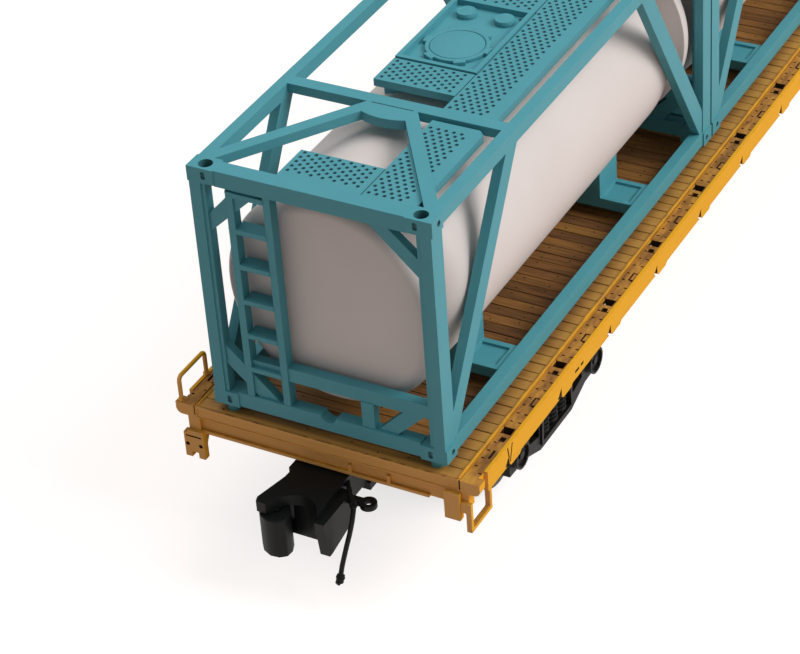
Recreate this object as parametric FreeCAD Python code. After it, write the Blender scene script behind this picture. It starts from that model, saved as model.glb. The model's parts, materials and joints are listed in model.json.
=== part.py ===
import FreeCAD, Part
import math
import os

# O scale (1:48) sixty-foot wood-deck flatcar carrying three twenty-foot tank containers.
# Millimetres. +Z up, +X along the car, origin on the floor under the middle of the car.
# The A end is at -X and the B end, with the hand brake, is at +X.

V = FreeCAD.Vector

# ---------------------------------------------------------------- driving dimensions
# containers
CONT_LENGTH = 126.2      # over the corner castings
CONT_WIDTH = 50.8
CONT_HEIGHT = 54.0
CONT_COUNT = 3
CONT_GAP = 0.7           # between neighbours on the deck
CONT_SIDE = -0.8         # the containers stand this far off the car's centre line
CAST_LENGTH = 4.2        # corner casting, along X
CAST_WIDTH = 5.6
CAST_HEIGHT = 3.2
HOLE_RADIUS = 1.4        # round hole in each top casting
HOLE_INSET_X = 2.0       # hole and peg, from the container's end
HOLE_INSET_Y = 3.1       # hole and peg, from the container's side
PEG_RADIUS = 1.35        # peg under each bottom casting
PEG_LENGTH = 1.8
POST_INSET = 0.3         # posts and side rails behind the castings' side faces
POST_DEPTH = 4.1         # side flange of a corner post, along X
POST_SIDE = 2.0          # thickness of the side flange
POST_FLANGE = 2.5        # front flange, along X
POST_FACE = 2.7          # front flange, from the castings' side face
POST_LIP = 0.8           # width of the recessed lip inside it
RAIL_WIDTH = 2.3         # side rails
TOP_RAIL_HEIGHT = 2.8
BOTTOM_RAIL_HEIGHT = 3.3
END_RAIL_DEPTH = 3.6     # top end rail, along X
END_LOW_DEPTH = 2.8      # bottom end rail and lower cross rail, along X
END_TOP_HEIGHT = 3.4
LOW_CROSS_Z = 9.4        # lower cross rail of the end frame
LOW_CROSS_HEIGHT = 3.0
LADDER_IN = 8.2          # ladder's stanchions, inner and outer edge from the centre line
LADDER_OUT = 17.7
STANCHION = 1.5
TREAD_COUNT = 6
TREAD_DROP = 0.6         # top ladder tread below the end's top rail
TREAD_PITCH = 7.87
TREAD_THICK = 1.0
FOOT_CLEAR = 0.3         # rails stand this far above the castings' feet
BRACE_WIDTH = 4.0        # side diagonals
BRACE_THICK = 2.0
CROSS_X = 32.8           # first roof cross member, from the container's end
CROSS_WIDTH = 2.9
ROOF_THICK = 2.0
ROOF_DIAGONAL = 2.7
TANK_CLEAR = 1.0         # between the tank and the end frames' top rails
TANK_END = 3.8           # end skirt's face, from the container's end
SKIRT_LENGTH = 4.5
SKIRT_EDGE = 3.0         # rounding of the skirt's face
NECK_DROP = 5.4          # neck below the barrel
SHOULDER_X = 11.0        # start of the barrel, from the container's end
SHOULDER_RADIUS = 7.0
SADDLE_X = 27.3          # saddle block, from the container's end
SADDLE_LENGTH = 8.6
SADDLE_HALF = 15.2
TRAY_TOP = 3.0
TRAY_THICK = 2.4
WALK_DROP = 0.6          # walkways below the top of the castings
WALK_THICK = 1.6
WALK_HALF = 8.8          # half width of the cross panels
STRIP_WIDTH = 11.2       # long strip beside them
PANEL_X = 13.7           # inner edge of the near cross panel, from the container's end
BOX_LENGTH = 25.7        # spill box round the manhole
BOX_RIM = 1.0
BOX_RISE = 0.3           # rim above the walkways
BOX_DEPTH = 1.0          # floor below the walkways
MANHOLE_X = 3.6          # manhole from the middle of the container, towards its near end
MANHOLE_RADIUS = 6.4
LUG_COUNT = 6
CAP_X = 8.6              # valve caps from the middle, towards the far end
CAP_Y = 4.2
CAP_SIZE = 1.95
# deck and underframe
DECK_OVERHANG = 1.1      # deck beyond the containers at each end
DECK_TOP = 30.3          # above the floor
DECK_HALF = 33.3         # over the corner blocks
PLANK_THICK = 2.0
SIDE_RAIL_WIDTH = 4.1    # side rail, inward from the corner block's face
SIDE_RAIL_HEIGHT = 2.7
SIDE_RAIL_INSET = 0.5    # sill face behind the corner block's face
CORNER_BLOCK = 2.2       # corner block, along X
SILL_DEPTH = 4.5
SILL_THICK = 1.0
SILL_START = 4.4         # side sill's plate, from the deck's end
POCKET_COUNT = 16
POCKET_START = 17.5      # first stake pocket, from the deck's end
POCKET_LENGTH = 2.0
POCKET_WIDTH = 2.6
POCKET_INSET = 2.5       # middle of a pocket, in from the sill's face
POCKET_TAB = 0.6         # pocket casting below the sill's edge
END_SILL_DEPTH = 6.3
END_SILL_INSET = 2.5     # end sill's ends behind the corner blocks' faces
END_SILL_THICK = 1.6
NOSING = 1.7             # end sill's upper flange, under the planks
NOSE_LIP = 0.5           # and its lip beside them
CENTRE_SILL_HALF = 7.0
CENTRE_SILL_END_Z = 24.6
FISHBELLY_Z = 13.0       # underside of the centre sill at mid car
FISHBELLY_HALF = 62.0
FISHBELLY_SLOPE = 26.0
BEARER_COUNT = 10
BEARER_THICK = 1.6
# trucks
TRUCK_X = 139.0          # truck centres either side of mid car
WHEELBASE = 35.0
AXLE_Z = 10.0
TREAD_RADIUS = 8.7
FLANGE_RADIUS = 10.0
WHEEL_BACK = 14.1        # back of a wheel from the centre line
WHEEL_WIDTH = 5.0
FLANGE_WIDTH = 1.3
AXLE_RADIUS = 1.2
AXLE_CLEAR = 0.2
AXLE_END = 22.0
FRAME_IN = 20.5          # side frame's inner face
FRAME_THICK = 3.0
CAP_RADIUS = 3.0
CAP_OUT = 24.7
BOLSTER_HALF = 4.4
BOLSTER_TOP = 16.4
BOWL_RADIUS = 6.0
PIVOT_Z = 20.6           # top of the truck's centre bowl
PIVOT_GAP = 0.2
# couplers
PIN_X = 40.0             # coupler pin from the truck's centre
PIN_RADIUS = 1.0
TONGUE_HALF = 4.0
TONGUE_Z = 13.2
TONGUE_THICK = 1.8
SHANK_Z = 15.2
SHANK_TOP = 20.2
SHANK_HALF = 3.4
HEAD_TOP = 23.4
HEAD_PLATE = 2.5         # thickness of the head's top plate
HEAD_BOTTOM = 13.6
KNUCKLE_X = 23.3         # knuckle pin from the coupler's pin
KNUCKLE_Y = 5.0
KNUCKLE_REACH = 3.4      # knuckle about its pin
KNUCKLE_CLEAR = 0.2
KNUCKLE_LOW = 11.8       # lower end of the knuckle

# ---------------------------------------------------------------- derived places
STACK = CONT_COUNT * CONT_LENGTH + (CONT_COUNT - 1) * CONT_GAP
DECK_LENGTH = STACK + 2 * DECK_OVERHANG
DECK_END = DECK_LENGTH / 2
END_SILL_HALF = DECK_HALF - END_SILL_INSET
CONT_Z = DECK_TOP + PEG_LENGTH
POCKET_PITCH = (DECK_LENGTH - 2 * POCKET_START) / (POCKET_COUNT - 1)
HALF_W = CONT_WIDTH / 2
HALF_L = CONT_LENGTH / 2
RAIL_Y = HALF_W - POST_INSET
INNER_Y = RAIL_Y - RAIL_WIDTH
POST_IN = HALF_W - POST_FACE
RAIL_LOW = FOOT_CLEAR + BOTTOM_RAIL_HEIGHT
END_RAIL_Z = CONT_HEIGHT - END_TOP_HEIGHT
TANK_Z = CONT_HEIGHT / 2
TANK_RADIUS = TANK_Z - END_TOP_HEIGHT - TANK_CLEAR
WALK_TOP = CONT_HEIGHT - WALK_DROP
ROOF_Z = CONT_HEIGHT - ROOF_THICK
PIPE_END = V(-18.4, -9.4, 22.2)   # end of the air pipe, from the coupler's pin
SILL_FACE = DECK_HALF - SIDE_RAIL_INSET
PLANK_HALF = DECK_HALF - SIDE_RAIL_WIDTH
CROSS_END = CROSS_X + CROSS_WIDTH


# ---------------------------------------------------------------- helpers
def box(x0, x1, y0, y1, z0, z1):
    lo = V(min(x0, x1), min(y0, y1), min(z0, z1))
    size = V(abs(x1 - x0), abs(y1 - y0), abs(z1 - z0))
    return Part.makeBox(size.x, size.y, size.z, lo)


def cyl(radius, length, base, axis):
    return Part.makeCylinder(radius, length, base, axis)


def plate(points, thickness, place):
    """A flat plate: 2-D points turned to 3-D by place(u, v), extruded by the vector thickness."""
    wire = Part.makePolygon([place(u, v) for u, v in points] + [place(*points[0])])
    return Part.Face(wire).extrude(thickness)


def plate_xy(points, z0, z1):
    return plate(points, V(0, 0, z1 - z0), lambda u, v: V(u, v, z0))


def plate_xz(points, y0, y1):
    return plate(points, V(0, y1 - y0, 0), lambda u, v: V(u, y0, v))


def plate_yz(points, x0, x1):
    return plate(points, V(x1 - x0, 0, 0), lambda u, v: V(x0, u, v))


def strip(start, end, width):
    """Four corners of a straight bar of this width along the line from start to end."""
    du, dv = end[0] - start[0], end[1] - start[1]
    size = math.hypot(du, dv)
    nu, nv = -dv / size * width / 2, du / size * width / 2
    return [(start[0] + nu, start[1] + nv), (end[0] + nu, end[1] + nv),
            (end[0] - nu, end[1] - nv), (start[0] - nu, start[1] - nv)]


def fuse(pieces):
    whole = pieces[0] if len(pieces) == 1 else pieces[0].multiFuse(pieces[1:])
    return whole.removeSplitter()


def turned(shape, angle, centre=V(0, 0, 0)):
    copy = shape.copy()
    copy.rotate(centre, V(0, 0, 1), angle)
    return copy


def moved(shape, x=0.0, y=0.0, z=0.0):
    copy = shape.copy()
    copy.translate(V(x, y, z))
    return copy


def flipped_x(shape, x):
    """The shape mirrored end for end in the plane at x."""
    return shape.mirror(V(x, 0, 0), V(1, 0, 0))


def flipped_y(shape):
    return shape.mirror(V(0, 0, 0), V(0, 1, 0))


nodes = {}


def keep(name, *shapes):
    solids = [solid for shape in shapes for solid in shape.Solids]
    nodes[name] = Part.makeCompound(solids)


# ---------------------------------------------------------------- one container, from its near end
def end_frame(with_ladder):
    """End frame in the plane of X, with its castings' faces at x = 0."""
    parts = []
    post_top = CONT_HEIGHT - CAST_HEIGHT
    for side in (1, -1):
        y_out, y_post, y_face = side * HALF_W, side * RAIL_Y, side * POST_IN
        cast_in = side * (HALF_W - CAST_WIDTH)
        peg = V(HOLE_INSET_X, side * (HALF_W - HOLE_INSET_Y), -PEG_LENGTH)
        parts += [box(0, CAST_LENGTH, cast_in, y_out, 0, CAST_HEIGHT),
                  box(0, CAST_LENGTH, cast_in, y_out, post_top, CONT_HEIGHT),
                  box(0, POST_FLANGE, y_face, y_post, CAST_HEIGHT, post_top),
                  box(0, POST_DEPTH, y_post - side * POST_SIDE, y_post, CAST_HEIGHT, post_top),
                  box(0.3, POST_FLANGE, y_face - side * POST_LIP, y_face, CAST_HEIGHT, post_top),
                  cyl(PEG_RADIUS, PEG_LENGTH, peg, V(0, 0, 1))]
    inner = HALF_W - CAST_WIDTH
    cross_top = LOW_CROSS_Z + LOW_CROSS_HEIGHT
    # rails and bars: y0, y1, z0, z1, x0, x1
    parts += [box(x0, x1, y0, y1, z0, z1) for y0, y1, z0, z1, x0, x1 in (
        (-inner, inner, END_RAIL_Z, CONT_HEIGHT, 0.2, END_RAIL_DEPTH),
        (-inner, inner, FOOT_CLEAR, RAIL_LOW, 0.2, END_LOW_DEPTH),
        (LADDER_IN, LADDER_IN + STANCHION, RAIL_LOW, END_RAIL_Z, 0.3, 2.6),
        (-10.1, -7.4, RAIL_LOW, LOW_CROSS_Z, 0.4, 2.3),                         # short post
        (-POST_IN, LADDER_IN, LOW_CROSS_Z, cross_top, 0.6, END_LOW_DEPTH),      # lower cross rail
    )]
    # corner gussets: distances along the rail and along the post, near edge then far edge
    for side, rail_z, turn, along_near, along_far, post_near, post_far in (
            (1, RAIL_LOW, 1, 7.4, 12.0, 6.9, 11.3),
            (-1, RAIL_LOW, 1, 8.0, 12.0, 7.8, 12.4),
            (1, END_RAIL_Z, -1, 6.8, 11.9, 7.5, 11.3),
            (-1, END_RAIL_Z, -1, 7.2, 11.0, 6.4, 10.5)):
        bar = [(side * POST_IN, rail_z + turn * post_far), (side * POST_IN, rail_z + turn * post_near),
               (side * (POST_IN - along_near), rail_z), (side * (POST_IN - along_far), rail_z)]
        gusset = plate_yz(bar, 0.7, 2.5)
        if side < 0 < turn:
            gusset = gusset.common(box(0, 5, -HALF_W, 0, 0, cross_top))
        parts.append(gusset)
    if with_ladder:
        start, stop = LADDER_IN + STANCHION, LADDER_OUT - STANCHION
        treads = [END_RAIL_Z - TREAD_DROP - index * TREAD_PITCH for index in range(TREAD_COUNT)]
        parts += [box(0.3, 2.5, stop, LADDER_OUT, RAIL_LOW, treads[0]),
                  box(0.9, END_LOW_DEPTH, start, stop, LOW_CROSS_Z, cross_top - 0.4)]
        parts += [box(0.1, 3.3, start, stop, z - TREAD_THICK, z) for z in treads]
        parts += [cyl(0.5, 0.4, V(1.3, LADDER_OUT, z - 0.6), V(0, 1, 0)) for z in treads]
    notch = cyl(1.7, END_RAIL_DEPTH + 1, V(-0.5, 0, RAIL_LOW + 0.3), V(1, 0, 0))
    holes = [cyl(HOLE_RADIUS, CAST_HEIGHT - 0.6,
                 V(HOLE_INSET_X, side * (HALF_W - HOLE_INSET_Y), post_top + 0.6), V(0, 0, 1))
             for side in (1, -1)]
    return fuse(parts).cut(Part.makeCompound([notch] + holes)).cut(tank())


def side_frame():
    """Top rail, bottom rail and diagonals of the -Y side."""
    rail_low = CONT_HEIGHT - TOP_RAIL_HEIGHT
    far = CONT_LENGTH - POST_DEPTH
    y_out = -RAIL_Y + 0.2
    parts = [box(CAST_LENGTH, CONT_LENGTH - CAST_LENGTH, -RAIL_Y, -INNER_Y, rail_low, CONT_HEIGHT),
             box(CAST_LENGTH, CONT_LENGTH - CAST_LENGTH, -RAIL_Y, -INNER_Y, FOOT_CLEAR, RAIL_LOW)]
    window = box(POST_DEPTH, far, -RAIL_Y, -INNER_Y, RAIL_LOW, rail_low)
    diagonal = strip((-0.9, -3.0), (CROSS_X + 4.6, CONT_HEIGHT + 5.0), BRACE_WIDTH)
    bar = plate_xz(diagonal, y_out, y_out + BRACE_THICK).common(window)
    posts = [box(x0, x1, -HALF_W, -INNER_Y + 1, z0, z1)
             for x0, x1 in ((0, POST_DEPTH), (far, CONT_LENGTH))
             for z0, z1 in ((CAST_HEIGHT, RAIL_LOW + 1), (rail_low - 1, CONT_HEIGHT - CAST_HEIGHT))]
    return fuse(parts + [bar, flipped_x(bar, HALF_L)]).cut(Part.makeCompound(posts))


def roof_frame():
    """Cross member, hub and the two roof diagonals at the near end."""
    parts = [box(CROSS_X, CROSS_END, -INNER_Y, INNER_Y, ROOF_Z, CONT_HEIGHT)]
    limit = box(CAST_LENGTH, CROSS_X, -INNER_Y, INNER_Y, ROOF_Z, CONT_HEIGHT)
    for side in (1, -1):
        line = strip((0.0, side * 26.2), (CROSS_X + 1.2, side * 3.0), ROOF_DIAGONAL)
        bar = plate_xy(line, ROOF_Z, CONT_HEIGHT)
        corner = box(0, END_RAIL_DEPTH, -HALF_W, HALF_W, ROOF_Z, CONT_HEIGHT)
        parts.append(bar.common(limit).cut(corner))
    corner_x, half = CROSS_X - 3.7, 4.6
    edge = Part.Arc(V(corner_x, half, ROOF_Z), V(corner_x - 0.9, 0, ROOF_Z),
                    V(corner_x, -half, ROOF_Z)).toShape()
    back = Part.makePolygon([V(corner_x, -half, ROOF_Z), V(CROSS_X, -half, ROOF_Z), V(CROSS_X, half, ROOF_Z),
                             V(corner_x, half, ROOF_Z)])
    hub = Part.Face(Part.Wire([edge] + back.Edges)).extrude(V(0, 0, ROOF_THICK))
    parts.append(hub)
    return fuse(parts)


def tank():
    """One turned solid: rounded end skirts, necks and the barrel with its rounded shoulders."""
    def rounding(centre_x, centre_r, radius):
        lean = radius * math.sqrt(0.5)
        return Part.Arc(V(centre_x - radius, 0, centre_r), V(centre_x - lean, 0, centre_r + lean),
                        V(centre_x, 0, centre_r + radius)).toShape()

    skirt_back = TANK_END + SKIRT_LENGTH
    neck = TANK_RADIUS - NECK_DROP
    skirt_flat = TANK_RADIUS - SKIRT_EDGE
    shoulder = TANK_RADIUS - SHOULDER_RADIUS
    runs = [[(TANK_END, 0), (TANK_END, skirt_flat)],
            [(TANK_END + SKIRT_EDGE, TANK_RADIUS), (skirt_back, TANK_RADIUS), (skirt_back, neck),
             (SHOULDER_X, shoulder)],
            [(SHOULDER_X + SHOULDER_RADIUS, TANK_RADIUS), (HALF_L, TANK_RADIUS), (HALF_L, 0), (TANK_END, 0)]]
    edges = []
    for run in runs:
        edges += [Part.makeLine(V(a[0], 0, a[1]), V(b[0], 0, b[1])) for a, b in zip(run, run[1:])]
    edges.append(rounding(TANK_END + SKIRT_EDGE, skirt_flat, SKIRT_EDGE))
    edges.append(rounding(SHOULDER_X + SHOULDER_RADIUS, shoulder, SHOULDER_RADIUS))
    outline = Part.Wire(Part.__sortEdges__(edges))
    half = Part.Face(outline).revolve(V(0, 0, 0), V(1, 0, 0), 360)
    return moved(fuse([half, flipped_x(half, HALF_L)]), z=TANK_Z)


def tank_core():
    return cyl(TANK_RADIUS, CONT_LENGTH, V(0, 0, TANK_Z), V(1, 0, 0))


def saddle():
    """Block under the tank with a tray out to the bottom rail on each side."""
    block = box(SADDLE_X, SADDLE_X + SADDLE_LENGTH, -SADDLE_HALF, SADDLE_HALF, TRAY_TOP - TRAY_THICK,
                TANK_Z - 0.55 * TANK_RADIUS)
    parts = [block.cut(tank_core())]
    for side in (1, -1):
        tray = box(SADDLE_X, SADDLE_X + SADDLE_LENGTH, side * SADDLE_HALF, side * INNER_Y,
                   TRAY_TOP - TRAY_THICK, TRAY_TOP)
        sunk = box(SADDLE_X + 1.3, SADDLE_X + SADDLE_LENGTH - 1.3, side * (SADDLE_HALF + 0.2),
                   side * (INNER_Y - 1.4), TRAY_TOP - 0.6, TRAY_TOP + 1)
        parts.append(tray.cut(sunk))
    return fuse(parts)


def walkways():
    """Near end walkway, and the near half of the middle one, as two solids."""
    low = WALK_TOP - WALK_THICK
    y_strip = -WALK_HALF - STRIP_WIDTH
    start, stop = END_RAIL_DEPTH, CROSS_X - 0.7
    near = plate_xy([(start, WALK_HALF), (PANEL_X, WALK_HALF), (PANEL_X, -WALK_HALF), (stop, -WALK_HALF),
                     (stop, y_strip + 1.2), (stop - 1.2, y_strip), (start + 1.6, y_strip),
                     (start, y_strip + 1.6)], low, WALK_TOP)
    feet = [box(x, x + 1.2, -WALK_HALF - 2.0, -WALK_HALF - 0.8, TANK_Z, low) for x in (20.0, 26.0)]
    feet.append(box(TANK_END + SKIRT_EDGE, TANK_END + SKIRT_LENGTH, -6.0, 6.0, TANK_Z, low))
    return near, feet


def make_container(name, x_start):
    """All pieces of one container, placed with its near end at x_start."""
    def place(*shapes):
        return [moved(shape, x_start, CONT_SIDE, CONT_Z) for shape in shapes]

    low = WALK_TOP - WALK_THICK
    y_strip = -WALK_HALF - STRIP_WIDTH
    keep(name + "_near_end_frame", *place(end_frame(True)))
    keep(name + "_far_end_frame", *place(flipped_x(end_frame(False), HALF_L)))
    side = side_frame()
    keep(name + "_side_frames", *place(side, flipped_y(side)))
    roof = roof_frame()
    keep(name + "_roof_frame", *place(roof, flipped_x(roof, HALF_L)))
    keep(name + "_tank", *place(tank()))
    near_saddle = saddle()
    keep(name + "_saddles", *place(near_saddle, flipped_x(near_saddle, HALF_L)))
    # walkways: end pieces, and the middle piece with its two cross panels
    end_walk, feet = walkways()
    skin = tank()
    end_walk = fuse([end_walk] + [foot.cut(skin) for foot in feet]).cut(roof)
    box_start = HALF_L - BOX_LENGTH / 2
    middle = plate_xy([(CROSS_END, -WALK_HALF), (box_start - WALK_HALF, -WALK_HALF),
                       (box_start - WALK_HALF, WALK_HALF), (box_start, WALK_HALF), (box_start, -WALK_HALF),
                       (HALF_L, -WALK_HALF), (HALF_L, y_strip), (CROSS_END, y_strip)], low, WALK_TOP)
    rib = box(box_start - 5.0, box_start - 3.8, -WALK_HALF, WALK_HALF, TANK_Z, low).cut(tank_core())
    middle = fuse([middle, rib])
    middle = fuse([middle, flipped_x(middle, HALF_L)])
    keep(name + "_walkways", *place(end_walk, flipped_x(end_walk, HALF_L), middle))
    # spill box with the manhole's neck and lid and two valve caps
    tray = box(box_start, box_start + BOX_LENGTH, -WALK_HALF, WALK_HALF, TANK_Z + TANK_RADIUS - 0.6,
               WALK_TOP + BOX_RISE)
    sunk = box(box_start + BOX_RIM, box_start + BOX_LENGTH - BOX_RIM, -WALK_HALF + BOX_RIM,
               WALK_HALF - BOX_RIM, WALK_TOP - BOX_DEPTH, WALK_TOP + 1)
    tray = tray.cut(sunk).cut(tank_core())
    floor = WALK_TOP - BOX_DEPTH
    lid_x = HALF_L - MANHOLE_X
    lug = box(lid_x + MANHOLE_RADIUS - 1.4, lid_x + MANHOLE_RADIUS + 0.8, -1.1, 1.1, floor, floor + 1.1)
    lugs = [turned(lug, 360 / LUG_COUNT * (index + 0.5), V(lid_x, 0, 0)) for index in range(LUG_COUNT)]
    lid = fuse([cyl(MANHOLE_RADIUS, 0.8, V(lid_x, 0, floor), V(0, 0, 1)),
                cyl(MANHOLE_RADIUS - 1.6, 1.3, V(lid_x, 0, floor), V(0, 0, 1))] + lugs)
    caps = [cyl(CAP_SIZE, 1.1, V(HALF_L + CAP_X, y, floor), V(0, 0, 1)) for y in (CAP_Y, -CAP_Y)]
    keep(name + "_spill_box", *place(fuse([tray] + caps)))
    keep(name + "_manhole_lid", *place(lid))


# ---------------------------------------------------------------- deck and underframe
def side_rail():
    """The -Y side: top plate with stake pockets, sill plate with the pockets' lower ends, corner blocks."""
    low = DECK_TOP - SILL_DEPTH
    rail_z = DECK_TOP - SIDE_RAIL_HEIGHT
    start = DECK_END - SILL_START
    radius = 1.3
    round_y, round_z = -DECK_HALF + radius, rail_z + radius
    block = fuse([box(0, CORNER_BLOCK, round_y, -PLANK_HALF, rail_z, DECK_TOP),
                  box(0, CORNER_BLOCK, -DECK_HALF, round_y, round_z, DECK_TOP),
                  cyl(radius, CORNER_BLOCK, V(0, round_y, round_z), V(1, 0, 0))])
    parts = [box(-start, start, -SILL_FACE, -PLANK_HALF, rail_z, DECK_TOP),
             box(-DECK_END, DECK_END, -SILL_FACE + 0.8, -PLANK_HALF, rail_z, DECK_TOP),
             box(-start, start, -SILL_FACE, -SILL_FACE + SILL_THICK, low, DECK_TOP),
             moved(block, x=-DECK_END), moved(block, x=DECK_END - CORNER_BLOCK)]
    pockets, notches = [], []
    for index in range(POCKET_COUNT):
        x = -DECK_END + POCKET_START + index * POCKET_PITCH
        tab = [(x - 3.9, low), (x - 3.5, low - POCKET_TAB), (x + 0.3, low - POCKET_TAB), (x + 0.9, low)]
        parts.append(plate_xz(tab, -SILL_FACE, -SILL_FACE + SILL_THICK))
        y_mid = -SILL_FACE + POCKET_INSET
        pockets.append(box(x - POCKET_LENGTH / 2, x + POCKET_LENGTH / 2, y_mid - POCKET_WIDTH / 2,
                           y_mid + POCKET_WIDTH / 2, DECK_TOP - 2.0, DECK_TOP + 1))
        notch = [(x - 5.9, low + 0.3), (x - 4.2, low - 0.2), (x - 4.2, low + 2.0)]
        notches.append(plate_xz(notch, -SILL_FACE - 0.1, -SILL_FACE + 0.4))
    return fuse(parts).cut(Part.makeCompound(pockets + notches))


def end_sill():
    """Near end: nosing flush with the deck, channel web with a lower lip and ribs, corner posts."""
    x = -DECK_END
    low = DECK_TOP - END_SILL_DEPTH
    nose_low = DECK_TOP - SIDE_RAIL_HEIGHT
    lip_half = END_SILL_HALF - 8.5
    parts = [box(x, x + NOSE_LIP, -PLANK_HALF, PLANK_HALF, nose_low, DECK_TOP),
             box(x, x + NOSING, -PLANK_HALF, PLANK_HALF, nose_low, DECK_TOP - PLANK_THICK),
             box(x + 0.8, x + 0.8 + END_SILL_THICK, -END_SILL_HALF, END_SILL_HALF, low, nose_low),
             box(x + 0.1, x + 0.8, -lip_half, END_SILL_HALF - 2.9, low, low + 0.7)]
    parts += [box(x + 0.1, x + 0.8, side * (END_SILL_HALF - width), side * END_SILL_HALF, low, nose_low)
              for side, width in ((1, 2.7), (-1, 5.4))]
    parts += [box(x + 0.2, x + 0.8, y - 0.35, y + 0.35, low + 0.7, low + 2.4) for y in (-5.2, -13.6)]
    return fuse(parts)


def underframe():
    """Centre sill: shallow over the trucks, deep in the middle, with the body centre plates."""
    top = DECK_TOP - PLANK_THICK
    end = DECK_END - 0.8 - END_SILL_THICK
    a, b = FISHBELLY_HALF, FISHBELLY_HALF + FISHBELLY_SLOPE
    outline = [(-end, top), (-end, CENTRE_SILL_END_Z), (-b, CENTRE_SILL_END_Z), (-a, FISHBELLY_Z),
               (a, FISHBELLY_Z), (b, CENTRE_SILL_END_Z), (end, CENTRE_SILL_END_Z), (end, top)]
    plate_z = PIVOT_Z + PIVOT_GAP
    parts = [plate_xz(outline, -CENTRE_SILL_HALF, CENTRE_SILL_HALF)]
    parts += [cyl(BOWL_RADIUS, CENTRE_SILL_END_Z - plate_z, V(side * TRUCK_X, 0, plate_z), V(0, 0, 1))
              for side in (-1, 1)]
    return fuse(parts)


def cross_bearers():
    """Tapered cross bearers and body bolsters from the centre sill out to the side sills."""
    top = DECK_TOP - PLANK_THICK
    y_out = SILL_FACE - SILL_THICK
    shapes = []
    span = 2 * (TRUCK_X - 30.0)
    places = [(-TRUCK_X, 5.0), (TRUCK_X, 5.0)]
    places += [(-span / 2 + index * span / (BEARER_COUNT - 1), BEARER_THICK) for index in range(BEARER_COUNT)]
    places += [(side * (TRUCK_X + 26.0), BEARER_THICK) for side in (-1, 1)]
    for x, thick in places:
        inner_low = FISHBELLY_Z + 5.0 if abs(x) < FISHBELLY_HALF else CENTRE_SILL_END_Z
        under_rail = DECK_TOP - SIDE_RAIL_HEIGHT
        profile = [(CENTRE_SILL_HALF, top), (CENTRE_SILL_HALF, inner_low), (y_out, under_rail - 1.4),
                   (y_out, under_rail), (PLANK_HALF, under_rail), (PLANK_HALF, top)]
        bearer = plate_yz(profile, x - thick / 2, x + thick / 2)
        shapes += [bearer, flipped_y(bearer)]
    return shapes


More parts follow.
